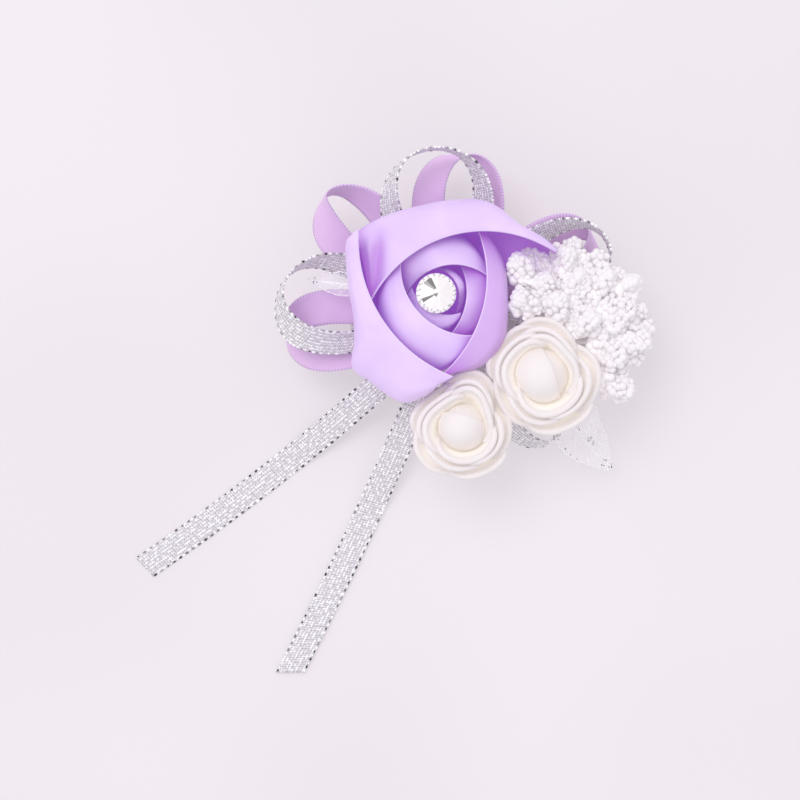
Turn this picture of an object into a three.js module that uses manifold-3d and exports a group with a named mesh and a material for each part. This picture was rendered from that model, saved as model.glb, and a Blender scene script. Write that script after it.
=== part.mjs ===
// Wrist corsage: a folded satin rose with a crystal at its heart, two foam roses and a foam
// filler spray, over a bow of satin and silver ribbon loops with two loose silver tails and
// three clear leaves, glued to a felt disc on an elastic wristband.
// Millimetres, +Z up. The corsage lies on its wristband. The origin is the middle of the
// band's lower run, on the table, and the wrist goes through the band along Y.
import * as THREE from 'three';
import { mergeVertices } from 'three/addons/utils/BufferGeometryUtils.js';
import Module from 'manifold-3d';

const wasm = await Module();
wasm.setup();

// Clearance between pieces that are glued, tied or laid on each other
const seatGap = 0.3;

// Elastic wristband, lying relaxed as a flat oval
const bandWidth = 15;
const bandThickness = 1.2;
const bandLength = 70; // end to end
const bandHeight = 12.8; // outside, from the table

// Felt: a round backing on the band, and a smaller patch under the band that covers the glue
const feltThickness = 1.2;
const feltRadius = 19;
const patchThickness = 1;
const patchRadius = 11;
const discEdgeShare = 0.25; // softened edge, of a disc's thickness

// Ribbons
const satinWidth = 10;
const satinThickness = 0.5;
const silverWidth = 7.8;
const silverThickness = 0.4;

// Bow: the knot that the loops are gathered in, and the fold of the tails' ribbon under it
const bowX = -6;
const bowY = -1;
const bowKnotRadius = 8;
const bowCrown = 1.6; // how far the knot bulges over the topmost ribbon
const pinchShare = 0.58; // of a ribbon's width, where the knot gathers it
const pinchLength = 13; // from the knot to where a ribbon has its full width again
const liftStart = 16; // how far from the knot's middle the loops start to rise
const loopReach = 50; // of a loop of full size, from the knot's middle
const loopBulgeShare = 1.3; // makes a loop's widest place as wide as its opening
const knotWaistShare = 0.92;
const knotThreadShares = [0.35, 0.65]; // where the thread lies, up the knot
const tailFoldRadius = 3;
const tailLength = 115;
const tailFallEnd = 64; // how far out the tails have come down to the table

// Folded satin rose
const roseX = -10.5;
const roseY = 5.8;
const roseRadius = 30;
const roseHeight = 20; // from its base disc to the highest folded edge
const roseBaseRadius = 16;
const roseBaseThickness = 1;
const foldThickness = 0.6; // ribbon folded double
const foldLip = 2.2; // how far the inner layer of a fold shows below its edge
const hemLift = 0.35; // each hem is gathered on the one outside it
const budTopRadius = 3.2;
const budFootRadius = 4.2;

// Crystal
const crystalRadius = 5.85;
const crystalFrontHeight = 2.2;
const crystalBackHeight = 2.4;
const crystalGirdle = 0.5;
const crystalRiseShare = 0.72; // height of its girdle, of the rose's height
const crownOutShare = 0.55;
const crownUpShare = 0.7;
const budShoulderShare = 0.4;

// Foam roses
const firstFoamX = 20.3;
const firstFoamY = -16.7;
const firstFoamRadius = 16;
const firstFoamLift = 6.35; // over the silver loops
const secondFoamX = -1.9;
const secondFoamY = -31.6;
const secondFoamRadius = 13.9;
const secondFoamLift = 3.35;
const foamThickness = 1.3;
const foamRoseHeight = 17;

// Taped bundle that holds the wire stems
const wireRadius = 0.6;
const bundleX = 10;
const bundleY = -8;
const bundleRadius = 2;
const bundleLength = 8;

// Filler spray
const sprayX = 26;
const sprayY = -3;
const sprayRadius = 25;
const sprayTop = 37;
const sprayHubX = 22;
const sprayHubY = -7;
const sprigRadius = 2.9;
const sprigLength = 8;
const knobRadius = 2;
const stalkRadius = 0.7;

// Clear leaves
const leafThickness = 0.7;
const leafLength = 25;
const leafWidth = 14;
const leafCup = 1.4; // how far its sides turn up
const leafInset = 7; // of the farthest leaf's foot, from the reach of a full loop
const leafReach = loopReach - leafInset;
const leafTipShare = 0.08;
const leafFullness = 0.85; // below 1, a leaf is widest near its tip

const half = (value) => value / 2;
const radians = THREE.MathUtils.degToRad;
const mix = THREE.MathUtils.lerp;
const smooth = THREE.MathUtils.smoothstep;
const up = new THREE.Vector3(0, 0, 1);

// Heights of the stack above the table
const bandInnerTop = bandHeight - bandThickness;
const feltBottom = bandHeight + seatGap;
const feltTop = feltBottom + feltThickness;
const tailStep = silverThickness + seatGap;
const leftTailLevel = feltTop + seatGap + half(silverThickness);
const rightTailLevel = leftTailLevel + tailStep;
const bowBottom = rightTailLevel + half(silverThickness) + seatGap;
const satinStep = satinThickness + seatGap;
const silverStep = silverThickness + seatGap;
const satinLevel = bowBottom + half(satinThickness) + half(satinStep);
const silverLevel = satinLevel + half(satinStep) + half(satinThickness) + seatGap
  + half(silverThickness) + half(silverStep);
const bowTop = silverLevel + half(silverStep) + half(silverThickness) + bowCrown;
const roseBaseBottom = bowTop + seatGap;
const roseBaseTop = roseBaseBottom + roseBaseThickness;
const hemZ = roseBaseTop + seatGap + half(foldThickness);

// A smooth curve through evenly spaced stations, read at a share from 0 to 1
function station(values, share) {
  const place = THREE.MathUtils.clamp(share, 0, 1) * (values.length - 1);
  const index = Math.min(Math.floor(place), values.length - 2);
  const t = place - index;
  const p1 = values[index];
  const p2 = values[index + 1];
  const p0 = index > 0 ? values[index - 1] : p1;
  const p3 = index + 2 < values.length ? values[index + 2] : p2;
  return half(2 * p1 + (p2 - p0) * t + (2 * p0 - 5 * p1 + 4 * p2 - p3) * t * t
    + (3 * p1 - p0 - 3 * p2 + p3) * t * t * t);
}

// A closed solid made by giving a surface a thickness. surface(u, v) returns a point, with u
// and v from 0 to 1. A ring joins its last column to its first.
function thickSheet(surface, thickness, columns, rows, ring = false) {
  const step = 1e-3; // of u and v, for the direction of the surface
  const points = [];
  const across = ring ? columns : columns + 1;
  const least = ring ? -step : 0;
  const most = ring ? 1 + step : 1;
  for (const side of [1, -1]) {
    for (let i = 0; i < across; i += 1) {
      for (let j = 0; j <= rows; j += 1) {
        const u = i / columns;
        const v = j / rows;
        const alongU = surface(Math.min(u + step, most), v)
          .sub(surface(Math.max(u - step, least), v));
        const alongV = surface(u, Math.min(v + step, 1))
          .sub(surface(u, Math.max(v - step, 0)));
        const normal = alongU.cross(alongV).normalize();
        points.push(surface(u, v).addScaledVector(normal, side * half(thickness)));
      }
    }
  }
  const layer = across * (rows + 1);
  const at = (i, j, side) => (i % across) * (rows + 1) + j + (side > 0 ? 0 : layer);
  const faces = [];
  const quad = (a, b, c, d) => faces.push(a, b, c, a, c, d);
  for (let i = 0; i < columns; i += 1) {
    for (let j = 0; j < rows; j += 1) {
      quad(at(i, j, 1), at(i + 1, j, 1), at(i + 1, j + 1, 1), at(i, j + 1, 1));
      quad(at(i, j, -1), at(i, j + 1, -1), at(i + 1, j + 1, -1), at(i + 1, j, -1));
    }
    quad(at(i, 0, -1), at(i + 1, 0, -1), at(i + 1, 0, 1), at(i, 0, 1));
    quad(at(i, rows, 1), at(i + 1, rows, 1), at(i + 1, rows, -1), at(i, rows, -1));
  }
  if (!ring) {
    for (let j = 0; j < rows; j += 1) {
      quad(at(0, j, 1), at(0, j + 1, 1), at(0, j + 1, -1), at(0, j, -1));
      quad(at(columns, j, -1), at(columns, j + 1, -1), at(columns, j + 1, 1), at(columns, j, 1));
    }
  }
  const geometry = new THREE.BufferGeometry();
  const positions = points.flatMap((point) => point.toArray());
  geometry.setAttribute('position', new THREE.Float32BufferAttribute(positions, 3));
  geometry.setIndex(faces);
  return geometry;
}

function toSolid(geometry) {
  const bare = geometry.clone();
  bare.deleteAttribute('normal');
  bare.deleteAttribute('uv');
  const merged = mergeVertices(bare);
  return new wasm.Manifold(new wasm.Mesh({
    numProp: 3,
    vertProperties: merged.attributes.position.array,
    triVerts: new Uint32Array(merged.index.array),
  }));
}

function joined(geometries) {
  const mesh = geometries.map(toSolid).reduce((whole, piece) => whole.add(piece)).getMesh();
  const geometry = new THREE.BufferGeometry();
  geometry.setAttribute('position', new THREE.BufferAttribute(mesh.vertProperties, 3));
  geometry.setIndex(new THREE.BufferAttribute(mesh.triVerts, 1));
  return geometry;
}

// A straight rod between two points
function rod(from, to, radius, sides) {
  const geometry = new THREE.CylinderGeometry(radius, radius, from.distanceTo(to), sides);
  const direction = to.clone().sub(from).normalize();
  const axis = new THREE.Vector3(0, 1, 0);
  geometry.applyQuaternion(new THREE.Quaternion().setFromUnitVectors(axis, direction));
  const middle = from.clone().lerp(to, 0.5);
  return geometry.translate(middle.x, middle.y, middle.z);
}

// A round wire through a few points
function wire(points, radius, steps) {
  const outline = new THREE.Shape();
  outline.absarc(0, 0, radius, 0, 2 * Math.PI, false);
  return new THREE.ExtrudeGeometry(outline, {
    curveSegments: 3,
    steps,
    extrudePath: new THREE.CatmullRomCurve3(points),
    bevelEnabled: false,
  });
}

// A round piece, turned about +Z from a profile of (radius, height) pairs
function turned(profile, sides) {
  const points = profile.map(([radius, height]) => new THREE.Vector2(radius, height));
  return new THREE.LatheGeometry(points, sides).rotateX(half(Math.PI));
}

function finish(color, roughness, metalness) {
  return new THREE.MeshStandardMaterial({ color, roughness, metalness });
}

const satin = finish(0xcdb0f2, 0.42, 0);
const satinRibbon = finish(0xd7aee2, 0.5, 0);
const silver = finish(0xd9d6dc, 0.35, 0.6);
const foam = finish(0xf7f3ee, 0.85, 0);
const filler = finish(0xf4f0f6, 0.9, 0);
const crystal = finish(0xeef0ee, 0.05, 0.6);
const clear = finish(0xf0eaf4, 0.15, 0);
const satinBase = finish(0x6c3f94, 0.6, 0);
const felt = finish(0xf2eef2, 0.95, 0);
const elastic = finish(0xf5f2f6, 0.8, 0);
const tape = finish(0xeef0ea, 0.7, 0);

const corsage = new THREE.Group();

function add(name, geometry, material, parent = corsage) {
  const mesh = new THREE.Mesh(geometry, material);
  mesh.name = name;
  parent.add(mesh);
  return mesh;
}

// Wristband: an upper run under the felt, a lower run on the table, and the two bends that
// stretch when a hand goes through
const bendRadius = half(bandHeight);
const runLength = bandLength - 2 * bendRadius;

const bandRun = () => new THREE.BoxGeometry(runLength - 2 * seatGap, bandWidth, bandThickness);

function bandBend() {
  const middle = bendRadius - half(bandThickness);
  const surface = (u, v) => {
    const turn = mix(half(Math.PI), -half(Math.PI), u);
    const across = mix(-half(bandWidth), half(bandWidth), v);
    return new THREE.Vector3(middle * Math.cos(turn), across, middle * Math.sin(turn));
  };
  return thickSheet(surface, bandThickness, 12, 1);
}

add('band_upper_run', bandRun(), elastic).position.z = bandHeight - half(bandThickness);
add('band_lower_run', bandRun(), elastic).position.z = half(bandThickness);
const rightBend = add('band_bend_right', bandBend(), elastic);
rightBend.position.set(half(runLength), 0, bendRadius);
const leftBend = add('band_bend_left', bandBend(), elastic);
leftBend.position.set(-half(runLength), 0, bendRadius);
leftBend.rotation.z = Math.PI;

// Felt disc and patch, and the rose's base disc, with softened edges
function disc(radius, thickness, sides) {
  const edge = thickness * discEdgeShare;
  return turned([
    [0, 0], [radius - edge, 0], [radius, edge],
    [radius, thickness - edge], [radius - edge, thickness], [0, thickness],
  ], sides);
}

add('felt_backing', disc(feltRadius, feltThickness, 36), felt)
  .position.set(bowX, bowY, feltBottom);
add('felt_patch', disc(patchRadius, patchThickness, 24), felt)
  .position.set(bowX, 0, bandInnerTop - seatGap - patchThickness);
add('rose_base', disc(roseBaseRadius, roseBaseThickness, 30), satinBase)
  .position.set(roseX, roseY, roseBaseBottom);

// Knots: gathered ribbon, waisted by the thread that is wound round it
function knot(radius, height, sides) {
  const waist = radius * knotWaistShare;
  const [low, high] = knotThreadShares.map((share) => height * share);
  return turned([[0, 0], [radius, 0], [waist, low], [waist, high], [radius, height], [0, height]], sides);
}

add('bow_knot', knot(bowKnotRadius, bowTop - bowBottom, 20), silver)
  .position.set(bowX, bowY, bowBottom);
add('tail_fold', knot(tailFoldRadius, bowBottom - feltTop - 2 * seatGap, 14), silver)
  .position.set(bowX, bowY, feltTop + seatGap);

// Ribbon loops. Each leaves the knot with its two strands flat, one over the other, and turns
// on edge towards its tip. azimuth: its direction in degrees; reachShare, spreadShare and
// liftShare: its length, its opening and the rise of its tip, as shares of the full reach;
// tilts: how far the ribbon leans from standing on edge, in degrees, midway on the right-hand
// strand, at the tip and midway on the left-hand one; skew: how far the lean turns at the tip;
// leanShare: how much higher the left-hand strand lies than the right-hand one, per opening.
const satinLoops = [
  {
    name: 'satin_loop_upper_left', azimuth: 135, reachShare: 1.01, spreadShare: 0.3, liftShare: 0.07,
    leanShare: 0, tilts: [42, 14, 78], skew: 0,
  },
  {
    name: 'satin_loop_top', azimuth: 86, reachShare: 0.95, spreadShare: 0.35, liftShare: 0.05,
    leanShare: 0, tilts: [50, 44, 62], skew: 0,
  },
  {
    name: 'satin_loop_right', azimuth: 30.5, reachShare: 0.95, spreadShare: 0.3, liftShare: 0.01,
    leanShare: 0, tilts: [-66, -52, -62], skew: 0,
  },
  {
    name: 'satin_loop_lower_left', azimuth: 185, reachShare: 0.95, spreadShare: 0.27, liftShare: 0.03,
    leanShare: 0, tilts: [84, 38, 82], skew: 0,
  },
];
const flatTilt = 90; // lying flat, in degrees
const silverLoops = [
  {
    name: 'silver_loop_left', azimuth: 172, reachShare: 0.98, spreadShare: 0.46, liftShare: 0.2,
    leanShare: 0, tilts: [41, 22, 80], skew: -43,
  },
  {
    name: 'silver_loop_top', azimuth: 97, reachShare: 0.965, spreadShare: 0.53, liftShare: 0.24,
    leanShare: 0, tilts: [32, 3, 34], skew: 0,
  },
  {
    name: 'silver_loop_right', azimuth: 26, reachShare: 0.99, spreadShare: 0.42, liftShare: 0.15,
    leanShare: 0.3, tilts: [-25, -3, -30], skew: 0,
  },
  {
    name: 'silver_loop_lower', azimuth: -49, reachShare: 0.92, spreadShare: 0.29, liftShare: -0.155,
    leanShare: 0, tilts: [-45, -16, -40], skew: 0,
  },
];

function ribbonLoop(loop, width, thickness, level) {
  const root = bowKnotRadius + seatGap;
  const reach = loopReach * loop.reachShare;
  const spread = loopReach * loop.spreadShare;
  const side = Math.sign(loop.tilts[1]);
  const rootTilt = flatTilt * side;
  const surface = (u, v) => {
    const turn = Math.PI * (2 * u - 1);
    const x = mix(root, reach, Math.cos(half(turn)) ** 2);
    const y = half(spread) * loopBulgeShare * Math.sin(turn) * Math.cos(half(turn));
    const leaning = station([rootTilt, rootTilt, ...loop.tilts, rootTilt, rootTilt], u);
    const tilt = radians(THREE.MathUtils.clamp(leaning, -flatTilt, flatTilt));
    const lean = radians(loop.skew) * Math.sin(Math.PI * u) ** 2;
    const gathered = mix(pinchShare, 1, smooth(x, root, root + pinchLength));
    const across = (v - 0.5) * width * gathered;
    const rise = loopReach * loop.liftShare + y * loop.leanShare;
    const stack = -half(thickness + seatGap) * Math.sin(half(turn));
    const point = new THREE.Vector3(
      x + across * Math.sin(tilt) * Math.sin(lean),
      y - across * Math.sin(tilt) * Math.cos(lean),
      stack + across * Math.cos(tilt) + rise * smooth(x, liftStart, reach),
    );
    point.applyAxisAngle(up, radians(loop.azimuth));
    return point.add(new THREE.Vector3(bowX, bowY, level));
  };
  return thickSheet(surface, thickness, 28, 1);
}

for (const loop of satinLoops) {
  add(loop.name, ribbonLoop(loop, satinWidth, satinThickness, satinLevel), satinRibbon);
}
for (const loop of silverLoops) {
  add(loop.name, ribbonLoop(loop, silverWidth, silverThickness, silverLevel), silver);
}

// Tails: flat silver ribbons that leave the fold under the bow and come down to the table.
// Their height follows from the distance to the fold alone, so one can swing over the other.
// bendShare: how far a tail curves clockwise; skewShare: the slant of its cut end.
function tail(azimuth, length, level, bendShare, skewShare) {
  const rest = half(silverThickness) + level - leftTailLevel + half(seatGap);
  const surface = (u, v) => {
    const side = (v - 0.5) * silverWidth;
    const along = mix(tailFoldRadius + seatGap, length, u) + side * skewShare * u * u;
    const place = new THREE.Vector3(along, side - tailLength * bendShare * u * u, 0);
    place.z = mix(level, rest, smooth(place.length(), feltRadius, tailFallEnd));
    return place.applyAxisAngle(up, radians(azimuth)).add(new THREE.Vector3(bowX, bowY, 0));
  };
  return thickSheet(surface, silverThickness, 20, 1);
}

const tails = [
  {
    name: 'tail_left', azimuth: 223.3, lengthShare: 1, level: leftTailLevel,
    bendShare: 0.078, skewShare: 0,
  },
  {
    name: 'tail_right', azimuth: 248.5, lengthShare: 0.985, level: rightTailLevel,
    bendShare: 0.05, skewShare: -0.4,
  },
];
for (const { name, azimuth, lengthShare, level, bendShare, skewShare } of tails) {
  add(name, tail(azimuth, tailLength * lengthShare, level, bendShare, skewShare), silver);
}

// Folded satin rose. Each fold is a collar: a folded edge that runs as an arc past the heart,
// a band that bellies out from it, and a hem gathered on the base disc. Every fold tucks its
// ends under the fold outside it.
// facing: the side that the fold covers, in degrees; edgeShare: the edge's distance from the
// heart; slideShare: how far the edge's middle slides along; bowShare: the radius of its arc;
// sweeps: how far the arc runs to either side, in degrees; riseShare: the edge's height, as a
// share of the rose's; from and to: where the belly starts and ends round the heart, in
// degrees; bellyShares: its distance from the heart at even stations; hemShare: the hem's
// distance; dipShares: how far the ends of the edge tuck down, as shares of the height.
const folds = [
  {
    facing: 212.6, edgeShare: 0.557, slideShare: -0.073, bowShare: 1.37, sweeps: [36.5, 36.5],
    riseShare: 1, from: 149, to: 274,
    bellyShares: [0.96, 0.89, 0.83, 0.8, 0.79, 0.83, 0.92, 1.06, 1.07, 1.1, 1.08, 0.95, 0.83],
    hemShare: 0.51, dipShares: [0.02, 0.1],
  },
  {
    facing: 103.4, edgeShare: 0.49, slideShare: -0.297, bowShare: 1.19, sweeps: [47, 50],
    riseShare: 0.97, from: 19, to: 142,
    bellyShares: [1.19, 1.01, 0.98, 0.88, 0.83, 0.86, 0.93], hemShare: 0.465, dipShares: [0, 0.27],
  },
  {
    facing: -14.7, edgeShare: 0.463, slideShare: -0.034, bowShare: 1.22, sweeps: [36, 38.5],
    riseShare: 0.9, from: -75, to: 46,
    bellyShares: [0.73, 0.76, 0.72, 0.67, 0.66, 0.7, 0.72], hemShare: 0.42, dipShares: [0.24, 0.24],
  },
  {
    facing: 226, edgeShare: 0.247, slideShare: 0.052, bowShare: 0.647, sweeps: [51, 57],
    riseShare: 0.84, from: 150, to: 302,
    bellyShares: [0.52, 0.52, 0.56, 0.64, 0.68, 0.71, 0.56], hemShare: 0.375, dipShares: [0.2, 0.2],
  },
  {
    facing: 100.3, edgeShare: 0.247, slideShare: -0.129, bowShare: 0.523, sweeps: [57, 57],
    riseShare: 0.8, from: 25, to: 178,
    bellyShares: [0.54, 0.57, 0.6, 0.6, 0.56, 0.46, 0.4], hemShare: 0.33, dipShares: [0.2, 0.44],
  },
  {
    facing: -9.4, edgeShare: 0.297, slideShare: -0.031, bowShare: 0.62, sweeps: [39, 39],
    riseShare: 0.74, from: -70, to: 52,
    bellyShares: [0.45, 0.5, 0.53, 0.54, 0.53, 0.48, 0.42], hemShare: 0.285, dipShares: [0.25, 0.28],
  },
  {
    facing: 232, edgeShare: 0.163, slideShare: 0, bowShare: 0.353, sweeps: [54, 58],
    riseShare: 0.54, from: 150, to: 312,
    bellyShares: [0.25, 0.26, 0.3, 0.36, 0.37, 0.35, 0.32], hemShare: 0.235, dipShares: [0.33, 0.06],
  },
  {
    facing: 25, edgeShare: 0.22, slideShare: 0, bowShare: 0.29, sweeps: [52, 52],
    riseShare: 0.62, from: -42, to: 92,
    bellyShares: [0.27, 0.28, 0.28, 0.28, 0.27, 0.26, 0.25], hemShare: 0.19, dipShares: [0.24, 0.16],
  },
];
// The collar's profile behind its edge, at six stations: how far out it lies between the edge
// and the belly, and how far down between the edge and the hem
const collarOutShares = [0, 0.1, 0.42, 0.78, 1, 0.84];
const collarDownShares = [0, 0, 0.04, 0.16, 0.42, 0.72];
const lipRow = 1 / 8;
const hemRow = 7 / 8;
const dipStartShare = 0.5; // how far along the edge its far end starts to dip

function foldSurface(fold, order) {
  const facing = radians(fold.facing);
  const polar = (angle, share) => new THREE.Vector2(Math.cos(angle), Math.sin(angle))
    .multiplyScalar(share * roseRadius);
  const centre = polar(facing, fold.edgeShare - fold.bowShare)
    .add(polar(facing + half(Math.PI), fold.slideShare));
  const foot = hemZ + order * hemLift;
  return (u, v) => {
    const sweep = radians(mix(-fold.sweeps[0], fold.sweeps[1], u));
    const edge = polar(facing + sweep, fold.bowShare).add(centre);
    const around = radians(mix(fold.from, fold.to, u));
    const belly = polar(around, station(fold.bellyShares, u));
    const dip = fold.dipShares[0] * smooth(1 - u, dipStartShare, 1)
      + fold.dipShares[1] * smooth(u, dipStartShare, 1);
    const top = hemZ + roseHeight * (fold.riseShare - dip);
    const row = (v - lipRow) / (hemRow - lipRow);
    const place = edge.clone().lerp(belly, station(collarOutShares, row));
    place.lerp(polar(around, fold.hemShare), Math.max(v - hemRow, 0) / (1 - hemRow));
    const drop = v < lipRow
      ? foldLip * (1 - v / lipRow)
      : (top - foot) * station(collarDownShares, row);
    const height = mix(top - drop, foot, Math.max(v - hemRow, 0) / (1 - hemRow));
    return new THREE.Vector3(place.x + roseX, place.y + roseY, height);
  };
}

folds.forEach((fold, order) => {
  add(`rose_fold_${order + 1}`, thickSheet(foldSurface(fold, order), foldThickness, 14, 8), satin);
});

// Rolled bud at the heart, dished for the crystal, which is a pointed-back round stone
const girdleZ = hemZ + roseHeight * crystalRiseShare;
const apexZ = girdleZ - crystalBackHeight;
const dishRise = crystalBackHeight * budTopRadius / crystalRadius;
const budFootZ = roseBaseTop + seatGap;
add('rose_bud', turned([
  [0, budFootZ], [budFootRadius, budFootZ], [budFootRadius, mix(budFootZ, apexZ, budShoulderShare)],
  [budTopRadius, apexZ - seatGap + dishRise], [0, apexZ - seatGap],
], 16), satin).position.set(roseX, roseY, 0);
add('crystal', turned([
  [0, apexZ], [crystalRadius, girdleZ], [crystalRadius, girdleZ + crystalGirdle],
  [crystalRadius * crownOutShare, girdleZ + crystalGirdle + crystalFrontHeight * crownUpShare],
  [0, girdleZ + crystalGirdle + crystalFrontHeight],
], 14), crystal).position.set(roseX, roseY, 0);

// Foam roses: three cupped sheets, each cut into petals and threaded on the wire, round a
// rolled bud. leanTo and lean: which way and how far a rose leans, in degrees; squeezes: where
// a neighbour presses it in, in degrees, and by what share; a share below zero lets a petal
// stand out there. notchShare: how deep the gaps between the petals are; flareShare: how far
// the rim opens.
const threadHole = wireRadius + seatGap;
const nestStep = foamThickness + seatGap;
const foamLayers = [
  { name: 'outer_petals', petals: 5, reachShare: 1, tallShare: 0.58, notchShare: 0.1, flareShare: 0.1 },
  {
    name: 'middle_petals', petals: 4, reachShare: 0.79, tallShare: 0.74,
    notchShare: 0.1, flareShare: 0.04,
  },
  { name: 'inner_petals', petals: 3, reachShare: 0.56, tallShare: 0.76, notchShare: 0.08, flareShare: 0 },
];
const cupOutShares = [0, 0.5, 0.82, 0.93, 1];
const cupUpShares = [0, 0.05, 0.3, 0.68, 1];

function foamCup(radius, layer, order, squeezes) {
  const reach = radius * layer.reachShare;
  const tall = foamRoseHeight * layer.tallShare;
  const surface = (u, v) => {
    const angle = 2 * Math.PI * u;
    const petal = Math.abs(Math.cos(half(layer.petals * angle) + order));
    const notch = layer.notchShare * (1 - petal) ** 2;
    const pressed = squeezes.reduce((share, [side, depthShare]) => (
      share - depthShare * Math.max(0, Math.cos(angle - radians(side))) ** 4), 1);
    const rim = reach * pressed * (1 - notch + layer.flareShare * (v ** 4 - 0.5));
    const out = mix(threadHole + half(foamThickness), rim, station(cupOutShares, v));
    const rise = tall * station(cupUpShares, v) * (1 - notch * v);
    const foot = order * nestStep + half(foamThickness);
    return new THREE.Vector3(out * Math.cos(angle), out * Math.sin(angle), foot + rise);
  };
  return thickSheet(surface, foamThickness, layer.petals * 5, 4, true);
}

// The bud's outline: shares of the rose's radius and of the bud's height
const foamBudShares = [[0, 0], [0.15, 0], [0.3, 0.4], [0.285, 0.8], [0.18, 1], [0, 0.93]];

function foamBud(radius) {
  const foot = foamLayers.length * nestStep;
  const tall = foamRoseHeight - foot;
  return turned(foamBudShares.map(([outShare, upShare]) => [
    radius * outShare, foot + tall * upShare,
  ]), 12);
}

function foamRose({ name, x, y, base, radius, leanTo, lean, squeezes }) {
  const rose = new THREE.Group();
  rose.position.set(x, y, base);
  const turn = radians(leanTo);
  const leanAxis = new THREE.Vector3(-Math.sin(turn), Math.cos(turn), 0);
  rose.quaternion.setFromAxisAngle(leanAxis, radians(lean));
  corsage.add(rose);
  foamLayers.forEach((layer, order) => {
    add(`${name}_${layer.name}`, foamCup(radius, layer, order, squeezes), foam, rose);
  });
  add(`${name}_bud`, foamBud(radius), foam, rose);
  rose.updateMatrixWorld(true);
  return rose;
}

const firstFoam = foamRose({
  name: 'foam_rose_1',
  x: firstFoamX,
  y: firstFoamY,
  base: silverLevel + firstFoamLift,
  radius: firstFoamRadius,
  leanTo: 190,
  lean: 6,
  squeezes: [[140, 0.11], [45, 0.2], [212, 0.17]],
});
const secondFoam = foamRose({
  name: 'foam_rose_2',
  x: secondFoamX,
  y: secondFoamY,
  base: silverLevel + secondFoamLift,
  radius: secondFoamRadius,
  leanTo: 170,
  lean: 6,
  squeezes: [[34, 0.2], [66, -0.16], [128, 0.15]],
});

// Taped bundle beside the bow, and the wires that come out of it
const bundleTurn = Math.atan2(firstFoamY - bundleY, firstFoamX - bundleX);
const bundleZ = bowTop + seatGap + bundleRadius;
const bundleAt = (along, side, rise) => new THREE.Vector3(
  along * Math.cos(bundleTurn) - side * Math.sin(bundleTurn),
  along * Math.sin(bundleTurn) + side * Math.cos(bundleTurn),
  rise,
).add(new THREE.Vector3(bundleX, bundleY, bundleZ));
const bundleStart = bundleAt(-half(bundleLength), 0, 0);
const bundleEnd = bundleAt(half(bundleLength), 0, 0);
add('stem_bundle', rod(bundleStart, bundleEnd, bundleRadius, 12), tape);

const wireStart = half(bundleLength) + seatGap;
const wireSpacing = half(bundleRadius);
function stemWire(name, rose, side, rise) {
  const start = bundleAt(wireStart, side, rise);
  const lead = bundleAt(wireStart + bundleRadius, side, rise);
  const under = rose.localToWorld(new THREE.Vector3(0, 0, -bundleRadius));
  const end = rose.localToWorld(new THREE.Vector3(0, 0, foamLayers.length * nestStep - seatGap));
  add(name, wire([start, lead, under, end], wireRadius, 14), tape);
}
stemWire('foam_rose_1_wire', firstFoam, 0, wireSpacing);
stemWire('foam_rose_2_wire', secondFoam, -wireSpacing, -half(wireSpacing));

// Filler spray: knobby foam tips on the branches of one stem. azimuth and reachShare: where
// the tip is, about the middle of the spray; riseShare: its height as a share of the top's;
// sizeShare: its size.
const sprigs = [
  { azimuth: 128, reachShare: 0.82, riseShare: 1.04, sizeShare: 0.88 },
  { azimuth: 151, reachShare: 0.54, riseShare: 1.06, sizeShare: 0.9 },
  { azimuth: 118, reachShare: 0.51, riseShare: 1, sizeShare: 0.8 },
  { azimuth: 90, reachShare: 0.73, riseShare: 0.93, sizeShare: 0.75 },
  { azimuth: 75, reachShare: 0.51, riseShare: 0.97, sizeShare: 0.76 },
  { azimuth: 48, reachShare: 0.64, riseShare: 0.88, sizeShare: 0.85 },
  { azimuth: 112, reachShare: 0.24, riseShare: 1.06, sizeShare: 0.92 },
  { azimuth: 5, reachShare: 0.21, riseShare: 1.02, sizeShare: 1 },
  { azimuth: 32, reachShare: 0.86, riseShare: 0.72, sizeShare: 0.72 },
  { azimuth: 13, reachShare: 0.61, riseShare: 0.86, sizeShare: 1.03 },
  { azimuth: -14, reachShare: 0.8, riseShare: 0.76, sizeShare: 1 },
  { azimuth: -34, reachShare: 0.6, riseShare: 0.88, sizeShare: 1.05 },
  { azimuth: -49, reachShare: 0.9, riseShare: 0.7, sizeShare: 1.05 },
];
const sprayHub = new THREE.Vector3(sprayHubX, sprayHubY, bundleZ);
const goldenAngle = Math.PI * (3 - Math.sqrt(5));
const knobUpShares = [-0.2, 0.42]; // heights of the lowest and highest knob on a tip
const knobLimitShare = 0.62; // height at which a tip's outline would close

function knobbyTip(size) {
  const radius = sprigRadius * size;
  const length = sprigLength * size;
  const core = new THREE.IcosahedronGeometry(radius, 0).scale(1, 1, length / (2 * radius));
  const knobs = [0, 1, 2, 3, 4, 5, 6].map((index) => {
    const upShare = mix(...knobUpShares, index / 6);
    const out = radius * Math.sqrt(1 - (upShare / knobLimitShare) ** 2);
    const turn = index * goldenAngle;
    return new THREE.IcosahedronGeometry(knobRadius * size, 0)
      .translate(out * Math.cos(turn), out * Math.sin(turn), length * upShare);
  });
  return joined([core, ...knobs]);
}

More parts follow.
